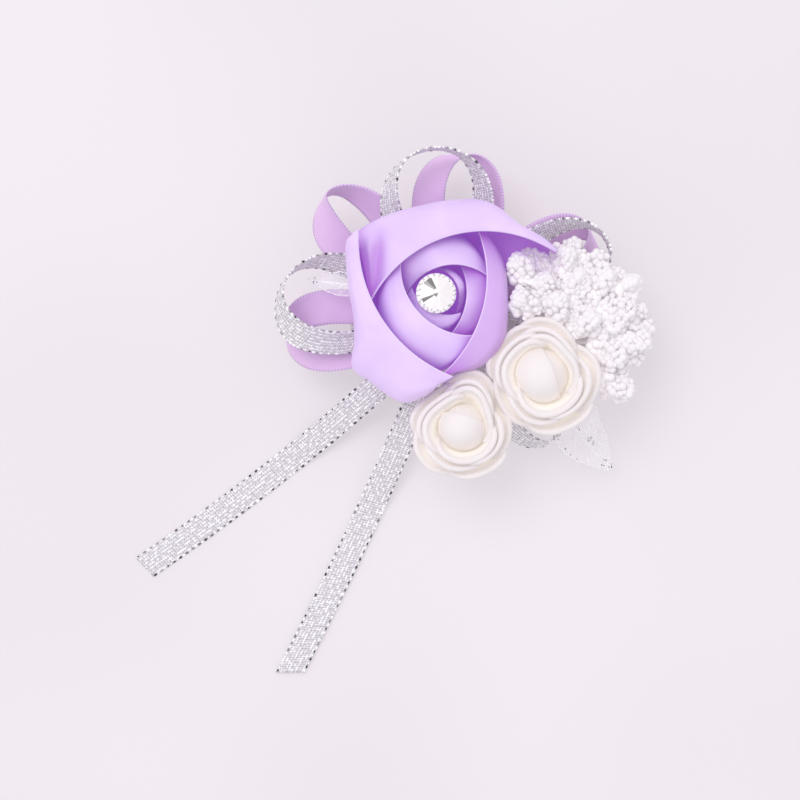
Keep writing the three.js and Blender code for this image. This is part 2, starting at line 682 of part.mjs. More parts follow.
const branches = [rod(bundleAt(wireStart + seatGap, wireSpacing, 0), sprayHub, stalkRadius, 6)];
sprigs.forEach((sprig, index) => {
  const angle = radians(sprig.azimuth);
  const reach = sprayRadius * sprig.reachShare;
  const middle = new THREE.Vector3(
    sprayX + reach * Math.cos(angle),
    sprayY + reach * Math.sin(angle),
    mix(bundleZ, sprayTop, sprig.riseShare) - half(sprigLength),
  );
  const axis = middle.clone().sub(sprayHub).normalize();
  const tip = add(`filler_sprig_${index + 1}`, knobbyTip(sprig.sizeShare), filler);
  tip.quaternion.setFromUnitVectors(up, axis);
  tip.position.copy(middle);
  const end = middle.clone().addScaledVector(axis, -half(sprigLength) * sprig.sizeShare - seatGap);
  branches.push(rod(sprayHub, end, stalkRadius, 5));
});
add('filler_stem', joined(branches), filler);

// Clear leaves: pointed, and cupped along the middle. Each is set by its foot and its tip.
function leaf(foot, tipPoint, width, cup) {
  const along = tipPoint.clone().sub(foot);
  const across = new THREE.Vector3(-along.y, along.x, 0).normalize();
  const surface = (u, v) => {
    const side = 2 * v - 1;
    const wide = half(width) * mix(leafTipShare, 1, Math.sin(Math.PI * u ** leafFullness)) * side;
    const point = foot.clone().addScaledVector(along, u).addScaledVector(across, wide);
    point.z += cup * side * side * Math.sin(Math.PI * u);
    return point;
  };
  return thickSheet(surface, leafThickness, 8, 4);
}

// footAzimuth and footShare: where a leaf's foot is, about the bow; base and riseShare: the
// height of the foot over what the leaf lies on; azimuth: where it points
const lowerTipLevel = silverLevel + loopReach * silverLoops.at(-1).liftShare;
const leaves = [
  {
    name: 'clear_leaf_1', footAzimuth: -39.8, footShare: 0.908, azimuth: -47,
    lengthShare: 1, widthShare: 1, base: lowerTipLevel, riseShare: 0.28912, fallShare: 0.45,
  },
  {
    name: 'clear_leaf_2', footAzimuth: -30.7, footShare: 1, azimuth: -72,
    lengthShare: 0.58, widthShare: 0.55, base: lowerTipLevel, riseShare: 0.37952, fallShare: 0.55,
  },
  {
    name: 'clear_leaf_3', footAzimuth: 158.6, footShare: 0.574, azimuth: 172,
    lengthShare: 0.72, widthShare: 0.5, base: bundleZ, riseShare: 0, fallShare: 0.1,
  },
];
for (const piece of leaves) {
  const out = leafReach * piece.footShare;
  const footTurn = radians(piece.footAzimuth);
  const turn = radians(piece.azimuth);
  const foot = new THREE.Vector3(
    bowX + out * Math.cos(footTurn),
    bowY + out * Math.sin(footTurn),
    piece.base + leafLength * piece.riseShare,
  );
  const along = new THREE.Vector3(Math.cos(turn), Math.sin(turn), -piece.fallShare);
  const tipPoint = foot.clone().addScaledVector(along, leafLength * piece.lengthShare);
  add(piece.name, leaf(foot, tipPoint, leafWidth * piece.widthShare, leafCup), clear);
}

export default corsage;
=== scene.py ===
# %% [markdown]
# # A wrist corsage in satin, foam and silver ribbon
# The corsage is built up the way a florist makes it: an elastic wristband, a felt disc glued on
# it, a bow of ribbon loops, a folded satin rose on the bow, and foam flowers wired beside it.
# Most pieces are thin sheets of cloth, foam or film, and those are all made the same way: a
# grid is laid flat and each of its points is moved by a formula, and a modifier then gives the
# sheet its thickness. The formulas are in millimetres, in the frame of the CAD model.
# %% The frame and the tools
import random
from collections import namedtuple
from math import (
    acos, atan2, copysign, cos, degrees, exp, hypot, pi, radians, sin, sqrt, tau,
)

import bmesh
import bpy
from mathutils import Matrix, Vector


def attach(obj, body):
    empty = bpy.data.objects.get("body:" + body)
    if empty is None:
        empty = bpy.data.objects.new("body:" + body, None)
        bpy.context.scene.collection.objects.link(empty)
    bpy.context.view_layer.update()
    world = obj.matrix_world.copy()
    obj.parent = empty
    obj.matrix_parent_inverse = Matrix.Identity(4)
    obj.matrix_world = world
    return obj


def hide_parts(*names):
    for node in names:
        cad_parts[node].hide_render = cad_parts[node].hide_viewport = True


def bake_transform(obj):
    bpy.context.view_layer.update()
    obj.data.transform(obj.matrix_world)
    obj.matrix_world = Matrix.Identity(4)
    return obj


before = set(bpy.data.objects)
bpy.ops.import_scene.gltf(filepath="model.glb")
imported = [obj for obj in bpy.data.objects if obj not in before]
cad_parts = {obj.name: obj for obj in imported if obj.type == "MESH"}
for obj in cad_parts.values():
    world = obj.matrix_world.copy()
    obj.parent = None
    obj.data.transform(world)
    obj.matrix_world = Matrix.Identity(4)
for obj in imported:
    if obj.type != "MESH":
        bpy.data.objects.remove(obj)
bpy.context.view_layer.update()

MM = 0.001
GOLDEN_ANGLE = pi * (3 - sqrt(5))
UP = Vector((0, 0, 1))


def mix(a, b, share):
    return a + (b - a) * share


def smooth(value, low, high):
    share = min(max((value - low) / (high - low), 0), 1)
    return share * share * (3 - 2 * share)


def station(values, share):
    """A smooth curve through evenly spaced values, read at a share from 0 to 1."""
    place = min(max(share, 0), 1) * (len(values) - 1)
    index = min(int(place), len(values) - 2)
    t = place - index
    p1, p2 = values[index], values[index + 1]
    p0 = values[index - 1] if index > 0 else p1
    p3 = values[index + 2] if index + 2 < len(values) else p2
    return 0.5 * (
        2 * p1
        + (p2 - p0) * t
        + (2 * p0 - 5 * p1 + 4 * p2 - p3) * t * t
        + (3 * p1 - p0 - 3 * p2 + p3) * t**3
    )


def turned(point, azimuth):
    """point, turned about +Z by azimuth in degrees."""
    return Matrix.Rotation(radians(azimuth), 3, "Z") @ point


def polar(azimuth, reach, height=0.0):
    angle = radians(azimuth)
    return Vector((reach * cos(angle), reach * sin(angle), height))


def swung(start, end):
    """The 4 x 4 matrix that swings one direction to another."""
    return start.rotation_difference(end).to_matrix().to_4x4()


# %% [markdown]
# ## Grids that formulas shape
# A ribbon, a petal and a folded collar are all a rectangle that was bent. `shaped_grid` lays a
# grid flat, gives it UVs in real metres so that weaves have their real pitch, and then moves
# each point. It can also keep a number per point, such as how deep in a crease the point lies.
# %% Grids
def add_object(name, data):
    made = bpy.data.objects.new(name, data)
    bpy.context.scene.collection.objects.link(made)
    return made


def mesh_from(name, bm):
    mesh = bpy.data.meshes.new(name)
    bm.to_mesh(mesh)
    bm.free()
    return mesh


def new_object(name, bm):
    return add_object(name, mesh_from(name, bm))


def grid_into(bm, surface, columns, rows, width, mark=None, closed=False):
    """Adds a grid to bm, shaped by surface(u, v) in mm. width is its width in mm for the UVs."""
    middle = [surface(i / columns, 0.5) for i in range(columns + 1)]
    along = [0.0]
    for a, b in zip(middle, middle[1:]):
        along.append(along[-1] + (b - a).length)
    uv = bm.loops.layers.uv.verify()
    depth = bm.verts.layers.float.get("depth") or bm.verts.layers.float.new("depth")
    made = bmesh.ops.create_grid(bm, x_segments=columns, y_segments=rows, size=0.5)["verts"]
    for face in {face for vert in made for face in vert.link_faces}:
        face.smooth = True
        for loop in face.loops:
            column = round((loop.vert.co.x + 0.5) * columns)
            loop[uv].uv = (along[column] * MM, (loop.vert.co.y + 0.5) * width * MM)
    for vert in made:
        u, v = vert.co.x + 0.5, vert.co.y + 0.5
        point = surface(u, v)
        vert[depth] = mark(u, v, point) if mark else 0.0
        vert.co = point * MM
    if closed:
        bmesh.ops.remove_doubles(bm, verts=made, dist=0.01 * MM)


def shaped_grid(name, *shape, **options):
    bm = bmesh.new()
    grid_into(bm, *shape, **options)
    return new_object(name, bm)


print("helpers: add_object, grid_into, shaped_grid")


# %% [markdown]
# ### Thickness, turning and scattering
# A modifier gives cloth its thickness, so that the grid stays easy to bend. Round pieces are
# turned from a profile, as on a lathe. Tiny ones that repeat are made once and then copied.
# %% Thickness, turning and scattering
def thicken(made, thickness):
    """Gives a sheet its thickness in mm, half of it to each side."""
    solid = made.modifiers.new("thickness", "SOLIDIFY")
    solid.thickness = thickness * MM
    solid.offset = 0
    return made


def soften(made):
    rounded = made.modifiers.new("rounding", "SUBSURF")
    rounded.levels = rounded.render_levels = 1


def lathe(name, profile, segments, ripple, smooth_faces=True):
    """Turns a profile of (radius, height) in mm about Z, and moves its points by ripple."""
    bm = bmesh.new()
    line = [bm.verts.new((radius * MM, 0, height * MM)) for radius, height in profile]
    edges = [bm.edges.new(pair) for pair in zip(line, line[1:])]
    bmesh.ops.spin(
        bm, geom=line + edges, axis=(0, 0, 1), cent=(0, 0, 0), steps=segments,
        angle=tau, use_merge=True,
    )
    bmesh.ops.remove_doubles(bm, verts=bm.verts[:], dist=0.005 * MM)
    bmesh.ops.recalc_face_normals(bm, faces=bm.faces[:])
    for face in bm.faces:
        face.smooth = smooth_faces
    for vert in bm.verts:
        vert.co = ripple(vert.co / MM) * MM
    return new_object(name, bm)


def moved(made, offset):
    """Moves the points of a mesh by offset in mm, so that the object stays at the origin."""
    made.data.transform(Matrix.Translation(offset * MM))
    return made


def small_shape(name, make, smooth_faces):
    """A little mesh that is made once and then scattered. make(bm) fills it."""
    bm = bmesh.new()
    bm.verts.layers.float.new("depth")
    make(bm)
    for face in bm.faces:
        face.smooth = smooth_faces
    return mesh_from(name, bm)


def scatter(bm, shape, matrix, depth):
    """Adds a copy of a small shape to bm, with one depth value for all its points."""
    copy = shape.copy()
    copy.transform(matrix)
    copy.attributes["depth"].data.foreach_set("value", [depth] * len(copy.vertices))
    bm.from_mesh(copy)
    bpy.data.meshes.remove(copy)


print("helpers: thicken, soften, lathe, moved, small_shape, scatter")


# %% [markdown]
# ### Handing a piece over
# Each finished piece hides the CAD nodes that it stands for, takes its finish and rides on the body
# that carries it. For cloth, the size of the flat sheet that it was bent from is worked out, and
# its length given back.
# %% Pieces and flat sheets
def mean_length(lines):
    return sum((b - a).length for line in lines for a, b in zip(line, line[1:])) / len(lines)


def flat_size(surface, columns=60, rows=24):
    """(width, length) in mm of the flat strip that a surface is bent from."""
    points = [[surface(i / columns, j / rows) for j in range(rows + 1)] for i in range(columns + 1)]
    return mean_length(points), mean_length(list(zip(*points)))


def place(made, nodes, slot, material, body="head"):
    """Puts a finished piece in the model: what it stands for, its finish and its body."""
    made.data.materials.append(material)
    if nodes:
        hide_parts(*nodes)
    if body:
        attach(made, body)
    return made


def strip(name, surface, grid, thickness, node, slot, material, body="head"):
    """A bent strip of one thickness in mm. grid is its columns, rows and width."""
    made = thicken(shaped_grid(name, surface, *grid), thickness)
    return place(made, [node], slot, material, body)


def declare_sheet(made, surface, width=0):
    """Works out the flat sheet that surface is bent from, and gives its length in mm. The width is
    measured unless the stock's own is known, and taken as at least 10 mm, but it is not used."""
    wide, long = flat_size(surface)
    wide = width or max(wide, 10)
    return long


print("helpers: flat_size, place, strip, declare_sheet")


# %% [markdown]
# ## Finishes
# Each finish is one function, named for the real material. Colours are written as the sRGB
# values that the eye reads, and turned into the linear values that Blender works with.
# %% Colour and finish helpers
def colour(text):
    """Linear RGBA from an sRGB hex such as '#CDB0F2'."""
    parts = [int(text[i : i + 2], 16) / 255 for i in (1, 3, 5)]
    return [*((c / 12.92 if c <= 0.04045 else ((c + 0.055) / 1.055) ** 2.4) for c in parts), 1.0]


class Finish:
    """A material in the making: its node tree, and the Principled shader that it ends in."""

    def __init__(self, name, **values):
        self.made = bpy.data.materials.new(name)
        self.made.use_nodes = True
        self.tree = self.made.node_tree
        self.shader = self.tree.nodes["Principled BSDF"]
        for key, value in values.items():
            self.set(key.replace("_", " "), value)

    def put(self, socket, value):
        """Links a socket to another one, or gives it a number or the colour of a hex text."""
        if isinstance(value, bpy.types.NodeSocket):
            self.tree.links.new(value, socket)
        else:
            socket.default_value = colour(value) if isinstance(value, str) else value

    def set(self, key, value):
        self.put(self.shader.inputs[key], value)

    def add(self, kind, inputs=None, **settings):
        """Adds a shader node, then fills its sockets."""
        made = self.tree.nodes.new("ShaderNode" + kind)
        for key, value in settings.items():
            setattr(made, key, value)
        for key, value in (inputs or {}).items():
            self.put(made.inputs[key], value)
        return made

    def math(self, operation, a, b=0.0, c=0.0):
        return self.add("Math", {0: a, 1: b, 2: c}, operation=operation).outputs[0]

    def stepped(self, value, low, high):
        """0 at low, 1 at high, and smooth between."""
        inputs = {"Value": value, "From Min": low, "From Max": high}
        return self.add("MapRange", inputs, interpolation_type="SMOOTHSTEP").outputs[0]

    def wave(self, value, pitch, phase=0.0):
        """A sine along value, which is in metres. pitch is in mm."""
        turn = self.math("MULTIPLY_ADD", value, tau / (pitch * MM), phase)
        return self.math("SINE", turn)

    def blend(self, share, first, second):
        """A colour between two, which are hex texts or sockets."""
        made = self.add("Mix", {"Factor": share}, data_type="RGBA")
        for key, value in (("A", first), ("B", second)):
            self.put(next(s for s in made.inputs if s.name == key and s.type == "RGBA"), value)
        return next(s for s in made.outputs if s.type == "RGBA")

    def fade(self, value, low, high, first, second):
        """The first colour where value is low, and the second where it is high."""
        return self.blend(self.stepped(value, low, high), first, second)

    def kept(self, name):
        """A number that the mesh keeps for each point or face."""
        return self.add("Attribute", attribute_name=name).outputs["Fac"]

    def noise(self, scale, detail=2.0, space="Object"):
        """Soft blotches, scale of them to the metre."""
        inputs = {
            "Vector": self.add("TexCoord").outputs[space], "Scale": scale, "Detail": detail,
        }
        return self.add("TexNoise", inputs).outputs["Fac"]

    def uv(self):
        """The two UV values, in metres: along a ribbon and across it."""
        return self.add("SeparateXYZ", {0: self.add("TexCoord").outputs["UV"]}).outputs[:2]

    def from_middle(self, across, width):
        """How far in metres from the middle line of a ribbon. width is in mm."""
        return self.math("ABSOLUTE", self.math("SUBTRACT", across, width * MM / 2))

    def bump(self, height, distance, strength):
        """Relief: where height is 1, it stands distance mm high."""
        inputs = {"Height": height, "Distance": distance * MM, "Strength": strength}
        self.set("Normal", self.add("Bump", inputs).outputs[0])


print("sRGB white becomes", colour("#FFFFFF"))


# %% [markdown]
# ### Dyed polyester satin
# The rose is folded from smooth satin. Its threads float in one direction, so highlights are long
# and soft, and light that bounces from fold to fold takes up more dye each time: a crease looks
# deep purple while the open cloth is pale lilac. Here that purple is painted shade: the crease
# depth kept in the mesh mixes the two colours, the folded edges get a painted highlight, and a
# faint purple glow stands for the light that comes through the thin cloth. A renderer with few
# bounces alone would leave the creases grey.
# %% Satin
SATIN_LIT_THROUGH = 0.28  # how strongly the deepest cloth glows


def satin_of_rose():
    satin = Finish(
        "satin_of_rose", Roughness=0.42, Specular_IOR_Level=0.35, Anisotropic=0.5,
        Sheen_Weight=0.18, Sheen_Roughness=0.4, Sheen_Tint="#F3E2FF", Emission_Color="#B470C4",
    )
    depth = satin.kept("depth")
    body = satin.fade(satin.noise(90.0), 0.35, 0.65, "#E2C8F9", "#E9D0FC")
    # Painted highlight along the folded edges, where the kept depth is below 0
    rim = satin.fade(depth, 0.0, -0.5, body, "#F3E6FF")
    # Painted shade in the creases, from lilac down to deep purple
    half_deep = satin.fade(depth, 0.0, 0.6, rim, "#C298DC")
    satin.set("Base Color", satin.fade(depth, 0.5, 1.0, half_deep, "#A866C6"))
    # Painted glow of the cloth deep in the creases
    glow = satin.math("MULTIPLY", satin.stepped(depth, 0.1, 1.0), SATIN_LIT_THROUGH)
    satin.set("Emission Strength", glow)
    satin.bump(satin.wave(satin.uv()[1], 0.35), 0.006, 0.5)  # the threads
    return satin.made


def satin_in_shade():
    """The same cloth on the base, the bud and the inner side of the collars, where all the
    light has bounced off more of it."""
    satin = Finish(
        "satin_in_shade", Roughness=0.5, Sheen_Weight=0.1, Emission_Color="#A868C0",
        Emission_Strength=SATIN_LIT_THROUGH,
    )
    satin.set("Base Color", satin.blend(satin.noise(200.0), "#B888D6", "#C494E0"))
    return satin.made


rose_satin = satin_of_rose()
shade_satin = satin_in_shade()
print("finishes:", rose_satin.name, shade_satin.name)


# %% [markdown]
# ### Woven ribbons
# The lilac ribbon is single-faced satin with a picot edge: its weft turns back at the selvage
# and leaves tiny loops, a row of pale and dark dots. The silver ribbon is woven from flat metal
# foil and clear film, with ribs across and a heavier dash at each selvage. Both patterns are
# drawn from UVs in metres, so they keep their real pitch round every bend.
# %% Ribbons
SATIN_WIDTH = 10
SILVER_WIDTH = 7.8
WEFT_PITCH = 0.75
WARP_PITCH = 0.98


def picot_satin_ribbon(width):
    ribbon = Finish(
        "picot_satin_ribbon", Roughness=0.45, Specular_IOR_Level=0.4, Anisotropic=0.4,
        Sheen_Weight=0.25, Sheen_Tint="#FBE9FF",
    )
    along, across = ribbon.uv()
    selvage = ribbon.stepped(
        ribbon.from_middle(across, width), (width / 2 - 0.75) * MM, (width / 2 - 0.45) * MM
    )
    dots = ribbon.stepped(ribbon.wave(along, 0.9), 0.2, 0.9)
    dark_dots = ribbon.math("MULTIPLY", selvage, dots)
    body = ribbon.blend(ribbon.noise(120.0, space="UV"), "#DEB9E6", "#E6C7EE")
    edge = ribbon.blend(ribbon.math("MULTIPLY", selvage, 0.5), body, "#EFD9F8")
    dotted = ribbon.blend(ribbon.math("MULTIPLY", dark_dots, 0.55), edge, "#B78BD0")
    ribbon.set("Base Color", dotted)
    ribbon.bump(ribbon.wave(along, 0.4), 0.01, 0.5)  # the ribs
    return ribbon.made


def silver_foil_ribbon():
    """The glow stands for the light that comes through the clear film."""
    foil = Finish(
        "silver_foil_ribbon", Roughness=0.4, Specular_IOR_Level=0.5, Emission_Color="#EEE8EF",
        Emission_Strength=0.07,
    )
    along, across = foil.uv()

    def threads(value, pitch, phase, low):
        return foil.stepped(foil.wave(value, pitch, phase), low, 1.0)

    glint = foil.noise(900.0, detail=1.0, space="UV")
    wefts = threads(along, WEFT_PITCH, 0.0, -0.2)
    warps = threads(across, WARP_PITCH, 0.0, 0.0)
    knots = foil.math(
        "MULTIPLY",
        threads(along, 2 * WEFT_PITCH, 1.6, 0.55),
        threads(across, WARP_PITCH, 1.6, 0.5),
    )
    cloth = foil.blend(wefts, "#BDB8C0", "#D9D5DB")
    # Painted glints: white where the glint noise lights warps and wefts, and a painted dark
    # reflection at some knots where it is low
    lit_warps = foil.math("MULTIPLY", warps, foil.stepped(glint, 0.4, 0.6))
    cloth = foil.blend(lit_warps, cloth, "#FFFFFF")
    painted_sparkle = foil.math("MULTIPLY", wefts, foil.stepped(glint, 0.58, 0.64))
    cloth = foil.blend(painted_sparkle, cloth, "#FFFFFF")
    painted_dark_glints = foil.math("MULTIPLY", knots, foil.stepped(glint, 0.55, 0.45))
    foil.set("Base Color", foil.blend(painted_dark_glints, cloth, "#6A6274"))
    foil.bump(foil.math("ADD", wefts, warps), 0.08, 0.5)
    return foil.made


def cast_foil_bead():
    """The dashes on the silver ribbon: hot-stamped foil, each one tipped its own way and painted
    with its own glint, from dark to white.
    """
    bead = Finish("cast_foil_bead", Roughness=0.45)
    painted_glint = bead.kept("depth")
    dull = bead.fade(painted_glint, 0.3, 0.7, "#332E39", "#A69EAD")
    bead.set("Base Color", bead.fade(painted_glint, 0.7, 0.9, dull, "#FFFFFF"))
    return bead.made


lilac_ribbon = picot_satin_ribbon(SATIN_WIDTH)
silver_ribbon = silver_foil_ribbon()
foil_bead = cast_foil_bead()
print("finishes:", lilac_ribbon.name, silver_ribbon.name, foil_bead.name)


# %% [markdown]
# ### Foam, felt, elastic and film
# Cast polyethylene foam is matt and lets light in, so its depths are painted warm with a glow, and
# its rims stay nearly white. Felt and elastic are matt too, and differ in their fine relief. The
# leaves are clear film: nearly invisible face on, with painted highlights where an edge catches the
# light.
# %% Soft and clear finishes
FOAM_GLOW = 0.06  # of the thin rims; the depths glow by more


def cast_foam(name, rim, depths, grain, glow):
    foam = Finish(
        name, Roughness=0.7, Specular_IOR_Level=0.2, Sheen_Weight=0.1, Emission_Color=depths
    )
    depth = foam.kept("depth")
    # Painted glow: faint on the rims and stronger in the depths
    glowing = foam.math("MULTIPLY_ADD", foam.stepped(depth, 0.0, 0.9), glow, FOAM_GLOW)
    foam.set("Emission Strength", glowing)
    # Painted warm light in the depths, which are lighter and warmer than the rims
    foam.set("Base Color", foam.fade(depth, 0.0, 1.0, rim, depths))
    foam.bump(foam.noise(1 / (grain * MM), detail=3.0), 0.08, 0.35)
    return foam.made


def needled_felt():
    cloth = Finish("needled_felt", Roughness=0.95, Sheen_Weight=0.3, Specular_IOR_Level=0.15)
    fibre = cloth.noise(2400.0, detail=5.0)
    cloth.set("Base Color", cloth.blend(fibre, "#E9E4EA", "#F8F5F8"))
    cloth.bump(fibre, 0.3, 0.6)
    return cloth.made


def braided_elastic():
    """Rubber cords under a braid of polyester: fine V-shaped stitches in rows along the band."""
    braid = Finish("braided_elastic", Roughness=0.8, Sheen_Weight=0.2)
    along, across = braid.uv()
    row = braid.wave(across, 1.25)
    stitch = braid.wave(braid.math("MULTIPLY_ADD", row, 0.3 * MM, along), 0.8)
    height = braid.math("MULTIPLY_ADD", stitch, 0.4, row)
    braid.set("Base Color", braid.fade(height, -1.2, 0.6, "#D9D3DD", "#F6F3F8"))
    braid.bump(height, 0.12, 0.8)
    return braid.made


def floral_tape():
    """Waxed crepe paper, wound round the wires."""
    crepe = Finish("floral_tape", Roughness=0.7)
    wrinkles = crepe.noise(1500.0, detail=3.0)
    crepe.set("Base Color", crepe.blend(wrinkles, "#DDE2D6", "#F2F3EC"))
    crepe.bump(wrinkles, 0.2, 0.5)
    return crepe.made


def clear_film(width):
    """Embossed clear film: a midrib and slanting side veins, with painted highlights where they
    catch the light. The glow is painted light that stands for the light that comes up through it
    from the table."""
    film = Finish(
        "clear_film", Roughness=0.12, Specular_IOR_Level=0.8, Coat_Weight=0.6,
        Emission_Color="#FFFFFF", Emission_Strength=0.12,
    )
    along, across = film.uv()
    aside = film.from_middle(across, width)
    veins = film.wave(film.math("MULTIPLY_ADD", aside, -1.1, along), 2.4)
    ridge = film.stepped(veins, 0.8, 1.0)
    midrib = film.stepped(aside, 0.5 * MM, 0.1 * MM)
    rim = film.stepped(aside, (width / 2 - 0.5) * MM, (width / 2 - 0.2) * MM)
    raised = film.math("MAXIMUM", film.math("MAXIMUM", ridge, midrib), rim)
    crumple = film.noise(260.0, space="UV")
    film.set("Base Color", film.blend(crumple, "#F3EAF6", "#FFFFFF"))
    # Painted highlights: the veins, the midrib and the edge are more opaque, so their white shows
    opacity = film.math("MULTIPLY_ADD", raised, 0.25, film.math("MULTIPLY", crumple, 0.26))
    film.set("Alpha", opacity)
    film.bump(film.math("MULTIPLY_ADD", crumple, 2.0, raised), 0.3, 0.4)
    return film.made


# Each foam: rim colour, the colour of the depths with their painted warm light, grain in mm and the
# painted glow of the depths
rose_foam = cast_foam("cast_rose_foam", "#E9E3E3", "#F1ECE5", 0.5, 0.13)
spray_foam = cast_foam("cast_spray_foam", "#EEEAED", "#F4F0F3", 0.4, 0.1)
felt = needled_felt()
elastic = braided_elastic()
tape = floral_tape()
print("finishes:", rose_foam.name, spray_foam.name, felt.name, elastic.name, tape.name)


# %% [markdown]
# ## The wristband
# Ribbed elastic, 15 mm wide, sewn to a ring and lying here as a flat oval. It is one strip, so its
# ring is one grid: its profile has the shallow grooves between the rubber cords. The part under the
# felt follows the corsage and the lower run follows the wrist, and the bends between them stretch,
# but here the ring rides on no body and stays where it is laid.
# %% Wristband
BAND_WIDTH = 15
BAND_THICKNESS = 1.0
BAND_LENGTH = 70
BAND_HEIGHT = 12.8
BAND_INSET = 0.6  # from the outline to the middle of the cloth
BAND_GROOVE = 0.12
BAND_CORDS = 12


def band_surface(u, v):
    middle = BAND_HEIGHT / 2 - BAND_INSET
    run = BAND_LENGTH - BAND_HEIGHT
    bend = pi * middle
    along = u * 2 * (run + bend)
    radius = middle + BAND_GROOVE * cos(tau * BAND_CORDS * v)
    y = (0.5 - v) * BAND_WIDTH
    if along < run:
        x, z = along - run / 2, -radius
    elif along < run + bend:
        turn = (along - run) / middle - pi / 2
        x, z = run / 2 + radius * cos(turn), radius * sin(turn)
    elif along < 2 * run + bend:
        x, z = run / 2 - (along - run - bend), radius
    else:
        turn = (along - 2 * run - bend) / middle + pi / 2
        x, z = -run / 2 + radius * cos(turn), radius * sin(turn)
    return Vector((x, y, z + BAND_HEIGHT / 2))


band = shaped_grid("elastic_wristband", band_surface, 160, 48, BAND_WIDTH, closed=True)
thicken(band, BAND_THICKNESS)
place(
    band, ["band_upper_run", "band_lower_run", "band_bend_right", "band_bend_left"],
    "elastic", elastic, body=None,
)
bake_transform(band)
band_long = declare_sheet(band, band_surface, BAND_WIDTH)
print("wristband:", round(band_long), "mm round,", len(band.data.polygons), "faces")


# %% [markdown]
# ## Felt and base disc
# A felt disc is glued on the band and a smaller patch under the band hides the glue. They are
# cut with scissors, so their edges are soft and not quite round.
# %% Felt and base disc
BOW = Vector((-6, -1, 0))
ROSE = Vector((-10.5, 5.8, 0))
PATCH = Vector((-6, 0, 0))
# name, middle, node, radius, thickness, bottom, slot and material
DISCS = [
    ("felt_disc", BOW, "felt_backing", 18.8, 1.2, 13.1, "felt", felt),
    ("felt_glue_patch", PATCH, "felt_patch", 10.9, 1.0, 10.3, "felt", felt),
    ("rose_base_disc", ROSE, "rose_base", 15.8, 1.0, 20.6, "rose_satin_shade", shade_satin),
]


def cut_by_hand(point):
    angle = atan2(point.y, point.x)
    share = 1 + 0.008 * sin(3 * angle + 1) + 0.005 * sin(7 * angle)
    return Vector((point.x * share, point.y * share, point.z))


def disc_profile(radius, thickness, bottom):
    edge = thickness * 0.3
    top = bottom + thickness
    return [
        (0, bottom), (radius * 0.5, bottom), (radius - edge, bottom),
        (radius - edge * 0.3, bottom + edge * 0.3), (radius, bottom + edge),
        (radius, top - edge), (radius - edge * 0.3, top - edge * 0.3),
        (radius - edge, top), (radius * 0.5, top), (0, top),
    ]


for name, middle, node, radius, thickness, bottom, slot, material in DISCS:
    cloth = lathe(name, disc_profile(radius, thickness, bottom), 72, cut_by_hand)
    place(moved(cloth, middle), [node], slot, material)
print("discs:", len(DISCS))


# %% [markdown]
# ## The knot
# The bow is gathered by a thread: its knot is a stack of pleats, waisted where the thread is
# wound round it. The fold of the tails under it is a smaller one.
# %% Knot
def pleated(pleats, depth):
    def ripple(point):
        angle = atan2(point.y, point.x)
        share = 1 - depth * (0.5 + 0.5 * cos(pleats * angle))
        return Vector((point.x * share, point.y * share, point.z))

    return ripple


def knot_profile(radius, height, bottom):
    outs = [0, 0.6, 0.97, 1.0, 0.98, 0.93, 0.92, 0.92, 0.93, 0.98, 1.0, 0.97, 0.6, 0]
    ups = [0, 0, 0, 0.06, 0.2, 0.33, 0.4, 0.6, 0.67, 0.8, 0.94, 1, 1, 0.97]
    return [(radius * out, bottom + height * rise) for out, rise in zip(outs, ups)]


for node, pleats, radius, height, bottom in (
    ("bow_knot", 24, 8, 4.3, 16.0),
    ("tail_fold", 12, 3, 1.1, 14.6),
):
    profile = knot_profile(radius, height, bottom)
    knot = lathe(node + "_pleats", profile, 6 * pleats, pleated(pleats, 0.05))
    place(moved(knot, BOW), [node], "silver_ribbon", silver_ribbon)
print("knot and tail fold made")


# %% [markdown]
# ## The bow's loops
# Each loop is one length of ribbon that leaves the knot, turns on edge, bends round its tip and
# comes back over its own start. A ribbon bends easily across its face and hardly at all
# in its plane, so the loop stands on edge at its tip and lies flat only near the knot. Eight
# loops of different lean give the bow its lively outline.
# %% Ribbon loops
LOOP_ROOT = 8.3
LOOP_REACH = 50
LOOP_FULLNESS = 1.3
LOOP_RISES_FROM = 16
GATHERED_SHARE = 0.58  # how narrow the ribbon is where the thread holds it
GATHERED_LENGTH = 13
SATIN_THICKNESS = 0.4
SILVER_THICKNESS = 0.32
# name: azimuth, reach, spread, lift and lean shares, tilts, skew
SATIN_LOOPS = {
    "upper_left": (135, 1.01, 0.3, 0.07, 0, [42, 14, 78], 0),
    "top": (86, 0.95, 0.35, 0.05, 0, [50, 44, 62], 0),
    "right": (30.5, 0.95, 0.3, 0.01, 0, [-66, -52, -62], 0),
    "lower_left": (185, 0.95, 0.27, 0.03, 0, [84, 38, 82], 0),
}
SILVER_LOOPS = {
    "left": (172, 0.98, 0.46, 0.2, 0, [41, 22, 80], -43),
    "top": (97, 0.965, 0.53, 0.24, 0, [32, 3, 34], 0),
    "right": (26, 0.99, 0.42, 0.15, 0.3, [-25, -3, -30], 0),
    "lower": (-49, 0.92, 0.29, -0.155, 0, [-45, -16, -40], 0),
}


